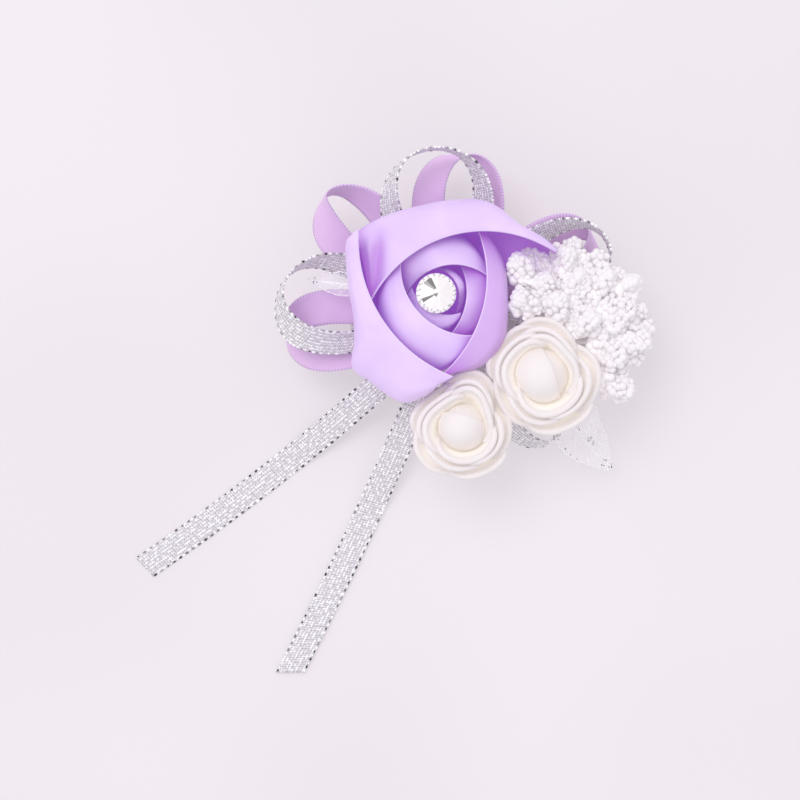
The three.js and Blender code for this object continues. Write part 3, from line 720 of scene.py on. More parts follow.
def loop_surface(spec, width, strand_gap, level):
    azimuth, reach_share, spread_share, lift, lean_share, tilts, skew = spec
    reach = LOOP_REACH * reach_share
    spread = LOOP_REACH * spread_share
    flat = copysign(90, tilts[1])
    tilt_stations = [flat, flat, *tilts, flat, flat]

    def surface(u, v):
        turn = pi * (2 * u - 1)
        x = mix(LOOP_ROOT, reach, cos(turn / 2) ** 2)
        y = spread / 2 * LOOP_FULLNESS * sin(turn) * cos(turn / 2)
        tilt = radians(min(max(station(tilt_stations, u), -90), 90))
        lean = radians(skew) * sin(pi * u) ** 2
        gathered = mix(GATHERED_SHARE, 1, smooth(x, LOOP_ROOT, LOOP_ROOT + GATHERED_LENGTH))
        across = (v - 0.5) * width * gathered
        rise = LOOP_REACH * lift + y * lean_share
        stack = -strand_gap / 2 * sin(turn / 2)
        height = stack + across * cos(tilt) + rise * smooth(x, LOOP_RISES_FROM, reach)
        sideways = across * sin(tilt)
        point = Vector((x + sideways * sin(lean), y - sideways * cos(lean), height))
        return turned(point, azimuth) + BOW + Vector((0, 0, level))

    return surface


satin_made = []
for name, spec in SATIN_LOOPS.items():
    surface = loop_surface(spec, SATIN_WIDTH, strand_gap=0.8, level=16.65)
    loop = strip(
        "lilac_loop_" + name, surface, (140, 10, SATIN_WIDTH), SATIN_THICKNESS,
        "satin_loop_" + name, "lilac_ribbon", lilac_ribbon,
    )
    long = declare_sheet(loop, surface, SATIN_WIDTH)
    satin_made.append(round(long))
print("lilac loops, ribbon lengths in mm:", satin_made)


# %% [markdown]
# ## Foil on the silver ribbon
# The selvages of the silver ribbon are rows of stamped foil dashes. Each is a tiny faceted bead
# tipped its own way and painted with its own glint, so that some flash and some go dark, which is
# all that makes silver ribbon glitter. They follow both edges of every loop and tail.
# %% Silver loops
BEAD_PITCH = 1.1
BEAD_SIZE = 0.36
BEAD_STRETCH = 1.7
BEAD_INSET = 0.03
TAIL_DULLNESS = 1.5
LOOP_DULLNESS = 0.6  # the loops stand on edge and catch more light

bead_shape = small_shape(
    "bead", lambda bm: bmesh.ops.create_icosphere(bm, subdivisions=1, radius=1.0), False
)


def beads_into(bm, spots, size, seed, stretch, dullness):
    """Adds a faceted bead at each (point in mm, direction), turned and sized at random.
    Each bead keeps a painted glint: every other one is fully bright and the rest are painted from
    dark to bright at random, as the foil passes under and over the edge. The higher the dullness,
    the more of them are dark."""
    chance = random.Random(seed)
    for index, (point, direction) in enumerate(spots):
        painted_glint = chance.random() ** dullness if index % 2 else 1.0
        grown = size * mix(0.75, 1.15, chance.random()) * MM
        at = Matrix.Translation(point * MM) @ swung(Vector((1, 0, 0)), direction)
        roll = Matrix.Rotation(chance.uniform(0, tau), 4, "X")
        scale = Matrix.Diagonal((grown * stretch, grown, grown, 1))
        scatter(bm, bead_shape, at @ roll @ scale, painted_glint)


def along_edges(surface, steps=600):
    """Points at the beads' pitch along both edges of a ribbon's surface."""
    found = []
    for v in (BEAD_INSET, 1 - BEAD_INSET):
        travelled = BEAD_PITCH
        last = surface(0, v)
        for i in range(1, steps + 1):
            point = surface(i / steps, v)
            travelled += (point - last).length
            if travelled >= BEAD_PITCH:
                found.append((point, (point - last).normalized()))
                travelled = 0.0
            last = point
    return found


def silver_strip(kind, surface, columns, node, seed, body, dullness):
    """A silver ribbon, and the foil along its edges."""
    strip(
        "silver_ribbon_" + kind, surface, (columns, 8, SILVER_WIDTH), SILVER_THICKNESS, node,
        "silver_ribbon", silver_ribbon, body,
    )
    bm = bmesh.new()
    beads_into(bm, along_edges(surface), BEAD_SIZE, seed, BEAD_STRETCH, dullness)
    place(new_object("silver_beads_" + kind, bm), [], "silver_ribbon", foil_bead, body)


for seed, (name, spec) in enumerate(SILVER_LOOPS.items()):
    surface = loop_surface(spec, SILVER_WIDTH, strand_gap=0.7, level=18.15)
    silver_strip(
        "loop_" + name, surface, 140, "silver_loop_" + name, 10 + seed, "head", LOOP_DULLNESS
    )
print("silver loops:", len(SILVER_LOOPS))


# %% [markdown]
# ## The loose tails
# The tails are one length of the same silver ribbon, folded once under the knot. They come down
# from the bow, lie on the table and curve a little in their plane, and each rides on its own
# body, because it swings about the knot.
# %% Tails
TAIL_LENGTH = 115
TAIL_ROOT = 3.3
TAIL_FALL = (19, 64)  # where a tail comes down from the bow to the table
LOWER_LEVEL = 14.8  # of the left tail at the bow
LOWER_REST = 0.35  # and on the table


def tail_surface(azimuth, length, level, bend, skew):
    rest = LOWER_REST + level - LOWER_LEVEL

    def surface(u, v):
        side = (v - 0.5) * SILVER_WIDTH
        along = mix(TAIL_ROOT, length, u) + side * skew * u * u
        point = Vector((along, side - TAIL_LENGTH * bend * u * u, 0))
        point.z = mix(level, rest, smooth(point.length, *TAIL_FALL))
        return turned(point, azimuth) + BOW

    return surface


# azimuth, length, level at the bow, bend and skew
TAILS = {
    "left": (223.3, TAIL_LENGTH, LOWER_LEVEL, 0.078, 0),
    "right": (248.5, TAIL_LENGTH * 0.985, LOWER_LEVEL + 0.7, 0.05, -0.4),
}
for seed, (side, spec) in enumerate(TAILS.items()):
    tail = "tail_" + side
    silver_strip(tail, tail_surface(*spec), 150, tail, 20 + seed, tail, TAIL_DULLNESS)
print("tails:", len(TAILS))


# %% [markdown]
# ## The folded satin rose
# Wide satin ribbon is folded double along its length. Lengths of it are laid round the heart
# as overlapping collars: the folded edge runs as a taut arc past the heart, the band bellies
# out behind it, and the raw edge is gathered on the base. Each collar tucks its ends under the
# one outside it.
# %% Rose folds
ROSE_RADIUS = 30
ROSE_HEIGHT = 20
HEM_Z = 22.2
HEM_LIFT = 0.35
FOLD_LIP = 2.2
FOLD_THICKNESS = 0.5
LIP_ROW = 1 / 8
HEM_ROW = 7 / 8
# Painted shade on the strip turned under each folded edge
LIP_SHADE = 0.7  # how deep the strip under the folded edge looks
COLLAR_OUT = [0, 0.1, 0.42, 0.78, 1, 0.84]
COLLAR_DOWN = [0, 0, 0.02, 0.09, 0.34, 0.72]
# Angles are in degrees about the rose, and the rest are shares of its radius or its height
Fold = namedtuple("Fold", "facing edge slide bow sweeps rise start stop bellies hem dips")
FOLDS = [
    Fold(212.6, 0.557, -0.073, 1.37, (36.5, 36.5), 1, 149, 274,
     [0.96, 0.89, 0.83, 0.8, 0.785, 0.81, 0.885, 1.035, 1.02, 1.035, 1.055, 0.96, 0.83],
     0.51, (0.02, 0.1)),
    Fold(103.4, 0.49, -0.297, 1.19, (47, 50), 0.97, 19, 142,
     [1.19, 1.01, 0.98, 0.88, 0.83, 0.86, 0.93], 0.465, (0, 0.27)),
    Fold(-14.7, 0.463, -0.034, 1.22, (36, 38.5), 0.9, -75, 46,
     [0.75, 0.8, 0.77, 0.69, 0.67, 0.7, 0.72], 0.42, (0.24, 0.24)),
    Fold(226, 0.247, 0.052, 0.647, (51, 57), 0.84, 150, 302,
     [0.52, 0.52, 0.56, 0.64, 0.68, 0.71, 0.56], 0.375, (0.2, 0.2)),
    Fold(100.3, 0.247, -0.129, 0.523, (57, 57), 0.8, 25, 178,
     [0.54, 0.57, 0.6, 0.6, 0.56, 0.46, 0.4], 0.33, (0.2, 0.44)),
    Fold(-9.4, 0.297, -0.031, 0.62, (39, 39), 0.74, -70, 52,
     [0.45, 0.5, 0.53, 0.54, 0.53, 0.48, 0.42], 0.285, (0.25, 0.28)),
    Fold(232, 0.163, 0, 0.353, (54, 58), 0.64, 150, 312,
     [0.25, 0.26, 0.3, 0.36, 0.37, 0.35, 0.32], 0.235, (0.33, 0.06)),
    Fold(25, 0.22, 0, 0.29, (52, 52), 0.67, -42, 92,
     [0.27, 0.28, 0.28, 0.28, 0.27, 0.26, 0.25], 0.19, (0.24, 0.16)),
]


def edge_circle(fold):
    """The middle of a folded edge's arc, in mm about the rose, and its radius."""
    middle = polar(fold.facing, (fold.edge - fold.bow) * ROSE_RADIUS)
    middle += polar(fold.facing + 90, fold.slide * ROSE_RADIUS)
    return middle, fold.bow * ROSE_RADIUS


def edge_height(fold, u):
    dip = fold.dips[0] * smooth(1 - u, 0.5, 1) + fold.dips[1] * smooth(u, 0.5, 1)
    return HEM_Z + ROSE_HEIGHT * (fold.rise - dip)


def fold_surface(fold, order):
    middle, bow = edge_circle(fold)
    foot = HEM_Z + order * HEM_LIFT

    def surface(u, v):
        edge = middle + polar(fold.facing + mix(-fold.sweeps[0], fold.sweeps[1], u), bow)
        around = mix(fold.start, fold.stop, u)
        belly = polar(around, station(fold.bellies, u) * ROSE_RADIUS)
        top = edge_height(fold, u)
        row = (v - LIP_ROW) / (HEM_ROW - LIP_ROW)
        below = max(v - HEM_ROW, 0) / (1 - HEM_ROW)
        point = edge.lerp(belly, station(COLLAR_OUT, row))
        point = point.lerp(polar(around, fold.hem * ROSE_RADIUS), below)
        if v < LIP_ROW:
            drop = FOLD_LIP * (1 - v / LIP_ROW)
        else:
            drop = (top - foot) * station(COLLAR_DOWN, row)
        point.z = mix(top - drop, foot, below)
        return point + ROSE

    return surface


print("folds:", len(FOLDS))


# %% [markdown]
# ### Grooves
# Two soft grooves run down the second collar, where it is pulled under the first one's edge.
# They are pressed in along two lines, because a formula for real drape would need much more.
# %% Grooves
# The ends and the width of each
GROOVES = [
    (Vector((-25.4, 28.0, 0)), Vector((-27.6, 7.5, 0)), 2.3),
    (Vector((-32.4, 24.0, 0)), Vector((-29.0, 6.5, 0)), 2.0),
]
GROOVED_FOLD = 1
GROOVE_DEPTH = 1.1
# Painted shade in the grooves, added to the crease depth that the satin paints
GROOVE_SHADE = 0.5


def groove_at(point):
    """How deep in a groove a point lies, from 0 to 1."""
    deepest = 0
    flat = Vector((point.x, point.y, 0))
    for start, end, wide in GROOVES:
        along = min(max((flat - start).dot(end - start) / (end - start).length_squared, 0), 1)
        away = (flat - start.lerp(end, along)).length
        deepest = max(deepest, exp(-((away / wide) ** 2)) * smooth(along, 0.0, 0.6))
    return deepest


def grooved(surface):
    def made(u, v):
        point = surface(u, v)
        point.z -= GROOVE_DEPTH * groove_at(point) * smooth(v, LIP_ROW, 0.3)
        return point

    return made


print("grooves:", len(GROOVES))


# %% [markdown]
# ### Creases
# A crease is dark because light reaches it only from other cloth. The number kept per point says
# how close the point lies under an outer edge, and the satin turns it into painted shade.
# %% Creases and collars
# How much painted shade each collar's creases take
CREASE_SHARES = [0.5, 0.5, 0.75, 0.5, 0.45, 0.6, 0.3, 0.35]
# The collars that face away from the window get a little painted shade all over
TURNED_AWAY = [0, 0, 0.33, 0, 0, 0.12, 0, 0.12]


def crease_depth(order, reach=3.0):
    """How deep a point of this fold lies under the edges of the folds outside it, from 0 to 1,
    which the satin paints as shade. Below 0, it lies on the folded edge itself, which catches the
    light and gets a painted highlight."""
    outer = [(edge_circle(fold), fold) for fold in FOLDS[:order]]
    share = CREASE_SHARES[order]

    def mark(u, v, point):
        depth = LIP_SHADE * max(0, 1 - v / LIP_ROW) + TURNED_AWAY[order]
        for (middle, bow), fold in outer:
            away = point - ROSE - middle
            height = away.z
            away.z = 0
            side = degrees(atan2(away.y, away.x)) - fold.facing
            side = (side + 180) % 360 - 180
            along = (side + fold.sweeps[0]) / sum(fold.sweeps)
            below = edge_height(fold, min(max(along, 0), 1)) - height
            beyond = max(0, -along, along - 1)
            inside = max(bow - away.length, 0)
            depth += share * exp(-inside / reach) * smooth(below, 0, 3) * (
                1 - smooth(beyond, 0, 0.15)
            )
        if order == GROOVED_FOLD:
            depth += GROOVE_SHADE * groove_at(point)
        rim = 1 - smooth(abs(v - LIP_ROW), 0.005, 0.035)
        return mix(min(depth, 1), -0.5, rim)

    return mark


for order, fold in enumerate(FOLDS):
    surface = fold_surface(fold, order)
    if order == GROOVED_FOLD:
        surface = grooved(surface)
    collar = shaped_grid(
        f"satin_collar_{order + 1}", surface, 112, 40, 20, mark=crease_depth(order)
    )
    # The inner side of each collar takes the satin in painted shade
    thicken(collar, FOLD_THICKNESS).modifiers["thickness"].material_offset = 1
    collar.data.materials.append(shade_satin)
    place(collar, [f"rose_fold_{order + 1}"], "rose_satin", rose_satin)
    declare_sheet(collar, surface)
print("collars made")


# %% [markdown]
# ## The bud
# The heart of the rose is a roll of the same satin: one strip, wound up from the inside.
# %% Bud
BUD_TURNS = 2.6


def rolled_bud_surface(u, v):
    turn = u * BUD_TURNS * 360
    radius = mix(1.0, 4.1, u) * station([1.0, 1.0, 0.93, 0.8], v)
    return polar(turn, radius) + ROSE + Vector((0, 0, mix(21.9, 33.4 - 0.6 * (1 - u), v)))


# The bud takes the satin in painted shade
bud = strip(
    "satin_bud_roll", rolled_bud_surface, (120, 8, 12), SATIN_THICKNESS, "rose_bud",
    "rose_satin", shade_satin,
)
bud_long = declare_sheet(bud, rolled_bud_surface)
print("bud: rolled from", round(bud_long), "mm of ribbon")


# %% [markdown]
# ## The rhinestone
# A round pointed stone sits in the bud. It is foiled behind, so it works as a mirror cut into
# wedges, and each wedge carries a painted reflection: some of the pale room and some of the dark
# camera side, and their order is what reads as sparkle. A thin zigzag of facets runs round its
# girdle, with painted reflections too.
# %% Rhinestone
STONE_RADIUS = 5.6
GIRDLE_Z = 36.6
STONE_WEDGES = 18
GIRDLE_CUTS = 4  # cuts round the girdle for each wedge
GIRDLE_RINGS = 2000  # rings of facets to the metre
GIRDLE_SHARE = 0.8  # facets farther out than this share of the radius are the girdle's
APEX_SHARE = 0.2  # and those farther in than this one are the point's


def foiled_crystal():
    """Cut glass on silver foil. Each facet keeps its own painted reflection, as one photo shows it.
    """
    glass = Finish(
        "foiled_crystal", Roughness=0.12, Specular_IOR_Level=0.5, Coat_Weight=0.3,
        Coat_Roughness=0.05,
    )
    reflection_tone = glass.kept("reflection_tone")
    dark = glass.fade(reflection_tone, 0.0, 0.35, "#5C5D59", "#C4C2BC")
    warm = glass.fade(reflection_tone, 0.35, 0.6, dark, "#F4EFEC")
    glass.set("Base Color", glass.fade(reflection_tone, 0.6, 0.9, warm, "#FFFFFF"))
    return glass.made


# Painted reflections: the brightness of the wedges, anticlockwise from the right
WEDGE_REFLECTIONS = [
    0.7, 0.66, 0.72, 0.68, 0.85, 0.1, 0.18, 1.0, 0.95, 1.0, 0.12, 0.85, 0.8, 0.75, 0.8, 0.72,
    0.76, 0.7,
]
GIRDLE_REFLECTIONS = [1.0, 0.42, 0.9, 1.0, 0.8, 0.36, 0.6, 1.0, 0.95, 0.46, 1.0]
APEX_REFLECTIONS = [0.8, 0.7, 0.9, 0.3, 0.15, 0.75]


def lean_apex(point):
    """The stone sits a little askew, so its point is off the middle."""
    return point + Vector((0.7, 0.1, 0)) * max(point.z, 0) / 2.7


def cut_stone():
    profile = [
        (0, -2.4), (STONE_RADIUS * 0.96, -0.1), (STONE_RADIUS, 0.0), (STONE_RADIUS, 0.5),
        (STONE_RADIUS * 0.9, 0.95), (STONE_RADIUS * 0.82, 1.15), (STONE_RADIUS * 0.22, 2.4),
        (0, 2.7),
    ]
    made = lathe(
        "cut_rhinestone", profile, STONE_WEDGES * GIRDLE_CUTS, ripple=lean_apex, smooth_faces=False
    )
    reflection_tone = made.data.attributes.new("reflection_tone", "FLOAT", "FACE")
    for face in made.data.polygons:
        angle = atan2(face.center.y, face.center.x) % tau
        step = angle / tau * STONE_WEDGES
        reach = hypot(face.center.x, face.center.y) / MM
        reflections, number = WEDGE_REFLECTIONS, int(step)
        if reach > STONE_RADIUS * GIRDLE_SHARE:
            ring = int(face.center.length * GIRDLE_RINGS)
            reflections, number = GIRDLE_REFLECTIONS, int(step * GIRDLE_CUTS) + 3 * ring
        elif reach < STONE_RADIUS * APEX_SHARE:
            reflections, number = APEX_REFLECTIONS, int(step / 3)
        reflection_tone.data[face.index].value = reflections[number % len(reflections)]
    return moved(made, ROSE + Vector((0, 0, GIRDLE_Z)))


stone = place(cut_stone(), ["crystal"], "rhinestone", foiled_crystal())
print("stone:", len(stone.data.polygons), "facets")


# %% [markdown]
# ## Foam petals
# A foam rose is die-cut from foam sheet: three stars of petals threaded on a wire, with a
# rolled bud in the middle. Warmth sets the petals into cups. Each petal overlaps the next one,
# with one side tucked in and the other outside, and its rim turns out a little. Foam is pressed
# flat where a neighbour leans on it.
# %% Foam petals
FOAM_HEIGHT = 17
FOAM_THICKNESS = 1.6
NEST_STEP = 1.6
THREAD_HOLE = 1.5
OVERLAP = 1.0
PETAL_OVERLAP = 1.35  # how wide a petal is, over its own part of the ring
CORNER_DROP = 0.24
RIM_WAVE = 0.05
CURL = 1.1
# petals, reach, height and flare shares
FOAM_LAYERS = {
    "outer_petals": (5, 0.99, 0.6, 0.1),
    "middle_petals": (4, 0.815, 0.74, 0.04),
    "inner_petals": (3, 0.685, 0.72, 0.04),
}
CUP_OUT = [0, 0.5, 0.82, 0.93, 1]
CUP_UP = [0, 0.05, 0.3, 0.68, 1]


def petal_surface(radius, layer, order, squeezes, middle_angle, half_angle):
    _, reach, tall, flare = layer

    def surface(u, v):
        side = 2 * u - 1
        angle = middle_angle + side * half_angle
        pressed = 1 - sum(
            share * max(0, cos(angle - radians(where))) ** 4
            for where, share in squeezes
        )
        wave = RIM_WAVE * sin(5 * side + 2 * middle_angle)
        rise = v * (1 - CORNER_DROP * abs(side) ** 3 + wave)
        rim = radius * reach * pressed * (1 + flare * (rise**4 - 0.5))
        curl = CURL * smooth(v, 0.7, 1) * (1 - side * side)
        out = mix(THREAD_HOLE, rim, station(CUP_OUT, rise)) + (side * OVERLAP - 0.4) * rise + curl
        height = order * NEST_STEP + 0.65 + FOAM_HEIGHT * tall * station(CUP_UP, rise)
        return Vector((out * cos(angle), out * sin(angle), height))

    return surface


def petal_depth(u, v, point):
    # 1 at the foot of a petal and 0 at its rim: how much painted warm glow the foam gets
    return smooth(1 - v, 0.02, 0.3)


print("petals of a foam rose:", sum(layer[0] for layer in FOAM_LAYERS.values()))


# %% [markdown]
# ### The foam rose's bud
# The bud is foam sheet rolled up tight, and from above only a dome and the lip of the last
# petal show. So it is made as a dome, with a second skin over it that ends at that lip.
# %% Foam bud
BUD_TOP = FOAM_HEIGHT - 1
BUD_SHARE = 0.45
BUD_WRAP = 0.75
BUD_CHORD = 0.3
BUD_THICKNESS = 0.9
DOME_POWER = 2.6


def dome_height(share):
    return sqrt(max(0.0, 1 - min(share, 1) ** DOME_POWER))


def bud_surface(radius, foot, top):
    def surface(u, v):
        share = cos(v * pi / 2)
        point = polar(u * 360, radius * share)
        point.z = mix(foot, top, dome_height(share))
        return point

    return surface


def bud_wrap_surface(radius, foot, top, facing):
    """The bud's last petal: it covers the dome up to a chord, BUD_CHORD out from its middle."""
    half = degrees(acos(BUD_CHORD))
    reach = sin(radians(half))

    def surface(u, v):
        low = polar(mix(facing + half, facing + 360 - half, u), 1)
        lip = polar(facing, BUD_CHORD + 0.2 * sin(pi * u))
        lip += polar(facing + 90, reach * mix(1, -1, u))
        spot = low.lerp(lip, v)
        point = spot * (radius + BUD_WRAP)
        point.z = mix(foot, top, dome_height(spot.length)) + BUD_WRAP
        return point

    return surface


def bud_depth(u, v, point):
    # More painted warm glow lower on the bud
    return 0.35 * smooth(BUD_TOP - point.z, 0, 5)


print("bud top:", BUD_TOP, "mm up the wire")


# %% [markdown]
# ### Two foam roses
# Both roses are cut with the same die. What differs is their size, where they lean and which
# neighbours press on them, so those are all that the table holds.
# %% Foam roses
# Each squeeze is a direction and a share, and the bud's last petal ends at bud_facing
FoamRose = namedtuple("FoamRose", "middle radius lean_to lean squeezes bud_facing")
FOAM_ROSES = {
    "foam_rose_1": FoamRose(
        Vector((20.3, -16.7, 24.5)), 16, 190, 6, [(140, 0.11), (45, 0.2), (212, 0.17)], 20,
    ),
    "foam_rose_2": FoamRose(
        Vector((-1.9, -31.6, 21.5)), 13.9, 170, 6, [(34, 0.2), (66, -0.16), (128, 0.15)], 75,
    ),
}


def stance(rose):
    """Places a rose's pieces, which are made round their own wire, in the frame."""
    lean = Matrix.Rotation(radians(rose.lean), 4, polar(rose.lean_to + 90, 1))
    return Matrix.Translation(rose.middle * MM) @ lean


def foam_piece(name, rose, bm, thickness, node):
    made = new_object(name, bm)
    made.data.transform(stance(rose))
    soften(thicken(made, thickness))
    place(made, [node], "ivory_foam", rose_foam)


for name, rose in FOAM_ROSES.items():
    for order, (layer_name, layer) in enumerate(FOAM_LAYERS.items()):
        petals = layer[0]
        bm = bmesh.new()
        for petal in range(petals):
            middle_angle = 2 * (petal * pi - order) / petals
            surface = petal_surface(
                rose.radius, layer, order, rose.squeezes, middle_angle,
                half_angle=PETAL_OVERLAP * pi / petals,
            )
            grid_into(bm, surface, 24, 14, 10, mark=petal_depth)
        node = f"{name}_{layer_name}"
        foam_piece(node + "_cut", rose, bm, FOAM_THICKNESS, node)
    dome = (rose.radius * BUD_SHARE, len(FOAM_LAYERS) * NEST_STEP, BUD_TOP)
    bm = bmesh.new()
    grid_into(bm, bud_surface(*dome), 48, 12, 12, mark=bud_depth, closed=True)
    wrap = bud_wrap_surface(*dome, rose.bud_facing)
    grid_into(bm, wrap, 32, 12, 12, mark=bud_depth, closed=True)
    foam_piece(f"{name}_rolled_bud", rose, bm, BUD_THICKNESS, f"{name}_bud")
print("foam roses:", ", ".join(FOAM_ROSES))


# %% [markdown]
# ## Filler spray
# The filler is cast foam on a branching stem: clusters of small knobs like a wild carrot's
# head. One knob is a low round ball, and each cluster scatters some dozens of them over an
# egg-shaped tip with the golden angle, which leaves no rows.
# %% Filler spray
SPRAY = Vector((26, -3, 0))
SPRAY_RADIUS = 25
SPRAY_LOW = 22.6
SPRAY_HIGH = 37
HUB = Vector((22, -7, SPRAY_LOW))
STEM_START = Vector((13.6, -9.2, 22.9))
SPRIG_LENGTH = 11.4
SPRIG_RADIUS = 3.2
LOBE_SHARE = 0.3
# azimuth, reach share, rise share, size share
SPRIGS = [
    (128, 0.82, 1.04, 0.88), (151, 0.54, 1.06, 0.9), (118, 0.51, 1, 0.8), (90, 0.73, 0.93, 0.75),
    (75, 0.51, 0.97, 0.76), (48, 0.64, 0.88, 0.85), (112, 0.24, 1.06, 0.92), (5, 0.21, 1.02, 1),
    (32, 0.86, 0.72, 0.72), (13, 0.61, 0.86, 1.03), (-14, 0.8, 0.76, 1), (-34, 0.6, 0.88, 1.05),
    (-49, 0.9, 0.7, 1.05),
]

knob_shape = small_shape(
    "knob", lambda bm: bmesh.ops.create_uvsphere(bm, u_segments=8, v_segments=6, radius=1.0), True
)


def knobs_into(bm, middle, axis, length, radius, knobs, size, seed):
    """Adds a cluster: an egg-shaped core with knobs scattered over its outer part."""
    chance = random.Random(seed)
    at = Matrix.Translation(middle * MM) @ swung(UP, axis)
    core = 0.85 * MM
    core_size = (radius * core, radius * core, length / 2 * core, 1)
    # The hidden core gets the full painted warm glow of the foam
    scatter(bm, knob_shape, at @ Matrix.Diagonal(core_size), 1.0)
    lobe = chance.uniform(0, tau)
    for index in range(knobs):
        up = mix(-0.75, 0.98, (index + 0.5) / knobs)
        out = radius * sqrt(1 - up * up)
        around = index * GOLDEN_ANGLE + chance.uniform(-0.3, 0.3)
        grown = size * mix(0.7, 1.3, chance.random()) * MM
        out *= mix(0.88, 1.08, chance.random()) * (1 + LOBE_SHARE * sin(3 * around + lobe))
        spot = Vector((out * cos(around), out * sin(around), length / 2 * up)) * MM
        tip = Matrix.Rotation(chance.uniform(0, tau), 4, "X")
        knob_stance = at @ Matrix.Translation(spot) @ tip @ Matrix.Scale(grown, 4)
        # The lower knobs get more painted warm glow than the tips
        scatter(bm, knob_shape, knob_stance, smooth(-up, -0.2, 0.8))


def sprig_middle(azimuth, reach, rise):
    return SPRAY + polar(azimuth, SPRAY_RADIUS * reach, mix(SPRAY_LOW, SPRAY_HIGH, rise) - 4)


for index, (azimuth, reach, rise, size) in enumerate(SPRIGS):
    middle = sprig_middle(azimuth, reach, rise)
    axis = (middle - HUB).normalized()
    bm = bmesh.new()
    knobs_into(
        bm, middle - axis, axis, SPRIG_LENGTH * size, SPRIG_RADIUS * size,
        knobs=66, size=1.08, seed=40 + index,
    )
    made = new_object(f"spray_cluster_{index + 1}", bm)
    place(made, [f"filler_sprig_{index + 1}"], "white_filler", spray_foam)
print("clusters:", len(SPRIGS))


# %% [markdown]
# ### Side clusters and branches
# The big clusters leave gaps, and short side twigs fill them. Their tips are spread over the
# spray by the golden angle again, and a spot is left out where another flower sits. Thin cones
# join all the tips to one hub.
# %% Side clusters and branches
SIDE_TIPS_TRIED = 90
SIDE_REACH = 22
SIDE_FRONT = -24
ROSE_CLEARANCE = 25.5
FOAM_CLEARANCE = 18.2


def side_tips():
    """Even spots over the spray, less those that the satin rose or the foam rose takes up."""
    for index in range(SIDE_TIPS_TRIED):
        share = sqrt((index + 0.5) / SIDE_TIPS_TRIED)
        spot = SPRAY + polar(degrees(index * GOLDEN_ANGLE), SIDE_REACH * share)
        clear_of_rose = (spot - ROSE).length > ROSE_CLEARANCE
        to_foam = (spot - FOAM_ROSES["foam_rose_1"].middle).to_2d().length
        if clear_of_rose and to_foam > FOAM_CLEARANCE and spot.y > SIDE_FRONT:
            yield spot + UP * (31.5 - 5 * share**2)


def branch_into(bm, start, end, radius):
    along = end - start
    bmesh.ops.create_cone(
        bm, cap_ends=True, segments=10, radius1=radius * 1.2 * MM, radius2=radius * MM,
        depth=along.length * MM,
        matrix=Matrix.Translation((start + end) / 2 * MM) @ swung(UP, along.normalized()),
    )


bm = bmesh.new()
for sprig in SPRIGS:
    branch_into(bm, HUB, sprig_middle(*sprig[:3]), 0.7)
branch_into(bm, STEM_START, HUB, 0.9)
tips = list(side_tips())
for index, tip in enumerate(tips):
    branch_into(bm, HUB, tip, 0.45)
    knobs_into(
        bm, tip, (tip - HUB).normalized(), length=6.4, radius=2.4, knobs=21, size=1.03,
        seed=80 + index,
    )
stem = new_object("spray_branches", bm)
place(stem, ["filler_stem"], "white_filler", spray_foam)
print("side tips:", len(tips))


# %% [markdown]
# ## Clear leaves
# Each leaf is stamped from clear film: a pointed blade, cupped along its midrib, with slanting
# veins pressed in. Specks of glitter stick along the midrib and on the tip.
# %% Clear leaves
LEAF_LENGTH = 25
LEAF_WIDTH = 14
LEAF_LEVEL = 22.6
LEAF_CUP = 1.4
MIDRIB_DEPTH = 0.12
FILM_THICKNESS = 0.3
SPECKS_ALONG = 25
SPECKS_AT_TIP = 18
# Sizes are shares of the values above, and fall is a slope
Leaf = namedtuple("Leaf", "foot_azimuth foot_reach azimuth long wide rise fall")
LEAVES = [
    Leaf(-39.8, 0.781, -47, 1, 1, 0.78, 0.45),
    Leaf(-30.7, 0.861, -72, 0.58, 0.55, 0.88, 0.55),
    Leaf(158.6, 0.494, 172, 0.72, 0.5, 1, 0.1),
]


def leaf_surface(leaf, width):
    foot = BOW + polar(leaf.foot_azimuth, LOOP_REACH * leaf.foot_reach, LEAF_LEVEL * leaf.rise)
    along = (polar(leaf.azimuth, 1) - UP * leaf.fall) * LEAF_LENGTH * leaf.long
    across = Vector((-along.y, along.x, 0)).normalized()

    def surface(u, v):
        side = 2 * v - 1
        outline = mix(0.08, 1, sin(pi * u**0.85))
        scallop = 1 + 0.03 * sin(u * 40)
        point = foot + along * u + across * (width / 2 * outline * scallop * side)
        point.z += LEAF_CUP * side * side * sin(pi * u)
        point.z -= MIDRIB_DEPTH * (1 - abs(side)) ** 4
        return point

    return surface


for index, leaf in enumerate(LEAVES):
    width = LEAF_WIDTH * leaf.wide
    surface = leaf_surface(leaf, width)
    strip(
        f"film_leaf_{index + 1}", surface, (48, 20, width), FILM_THICKNESS,
        f"clear_leaf_{index + 1}", "clear_film", clear_film(width),
    )
    chance = random.Random(60 + index)
    specks = [
        surface(mix(0.1, 0.65, i / (SPECKS_ALONG - 1)), 0.04 + 0.04 * chance.random())
        for i in range(SPECKS_ALONG)
    ]
    specks += [
        surface(mix(0.85, 1.0, chance.random()), chance.random()) for _ in range(SPECKS_AT_TIP)
    ]
    spots = [(speck + UP * 0.25, polar(i * 77, 1)) for i, speck in enumerate(specks)]
    bm = bmesh.new()
    beads_into(bm, spots, size=0.19, seed=70 + index, stretch=1.4, dullness=LOOP_DULLNESS)
    place(new_object(f"leaf_glitter_{index + 1}", bm), [], "silver_ribbon", foil_bead)
print("leaves:", len(LEAVES))


# %% [markdown]
# ## Wires and the taped bundle
# The wires and the taped bundle under the flowers already have their right round shapes in the
# CAD model, so they stay and take the crepe surface of floral tape.
# %% Taped wires
for name in ("stem_bundle", "foam_rose_1_wire", "foam_rose_2_wire"):
    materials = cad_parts[name].data.materials
    materials.clear()
    materials.append(tape)
print("taped wires finished")


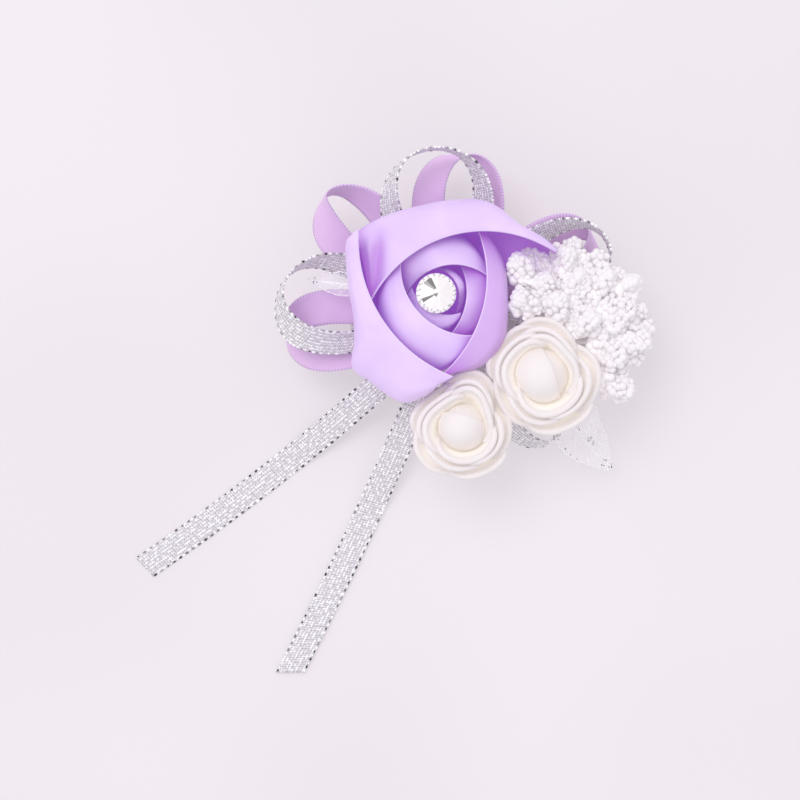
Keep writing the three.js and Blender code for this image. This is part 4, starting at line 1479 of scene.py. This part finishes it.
# %% [markdown]
# ## Table
# The photo looks straight down on a pale pinkish table, and its background was lifted until its
# shadows were faint. So half of the paint's brightness is its own, but only where the camera or
# a mirror looks at it: the light that it throws on the corsage stays that of matt paint.
# %% Table
LIFTED = 0.5  # the share of the table's brightness that no shadow takes away
OPEN_LIGHT = 1.1  # how bright a white sheet would be on the open table


def painted_table():
    paint = Finish("painted_table", Roughness=0.9, Specular_IOR_Level=0.1)
    tint = paint.fade(paint.noise(7.0, detail=1.0), 0.3, 0.7, "#E5DFE4", "#EAE4E9")
    path = paint.add("LightPath").outputs
    seen = paint.math("MAXIMUM", path["Is Camera Ray"], path["Is Glossy Ray"])
    seen = paint.math("MAXIMUM", seen, path["Is Transmission Ray"])
    own_light = paint.math("MULTIPLY", seen, LIFTED)
    paint.set("Base Color", paint.blend(own_light, tint, "#000000"))
    paint.set("Emission Color", tint)
    paint.set("Emission Strength", paint.math("MULTIPLY", seen, LIFTED * OPEN_LIGHT))
    return paint.made


bm = bmesh.new()
bmesh.ops.create_grid(bm, x_segments=1, y_segments=1, size=2.0)
table = new_object("floor", bm)
table.data.materials.append(painted_table())
print("table:", table.data.materials[0].name)


# %% [markdown]
# ## Light and camera
# The light is a large soft window from the upper left with a bright room round it, so shadows
# are faint. The camera stands 0.7 m above the table, because the higher flowers look slightly
# larger than the ribbon tails.
# %% Light and camera
key = add_object("window", bpy.data.lights.new("window", "AREA"))
key.data.shape = "DISK"
key.data.size = 1.6
key.data.energy = 27
key.location = (-0.8, 0.9, 2.6)
key.rotation_euler = (Vector((0, 0, 0.02)) - key.location).to_track_quat("-Z", "Y").to_euler()

world = bpy.data.worlds.new("room")
world.use_nodes = True
room = world.node_tree.nodes["Background"].inputs
room["Color"].default_value = colour("#FBF9FD")
room["Strength"].default_value = 0.85
bpy.context.scene.world = world
bpy.context.scene.view_settings.view_transform = "Standard"

camera = add_object("camera", bpy.data.cameras.new("camera"))
camera.data.sensor_width = 36
camera.data.lens = 106.8
camera.location = (-0.0205, -0.024, 0.7)
bpy.context.scene.camera = camera
print("window and camera placed")
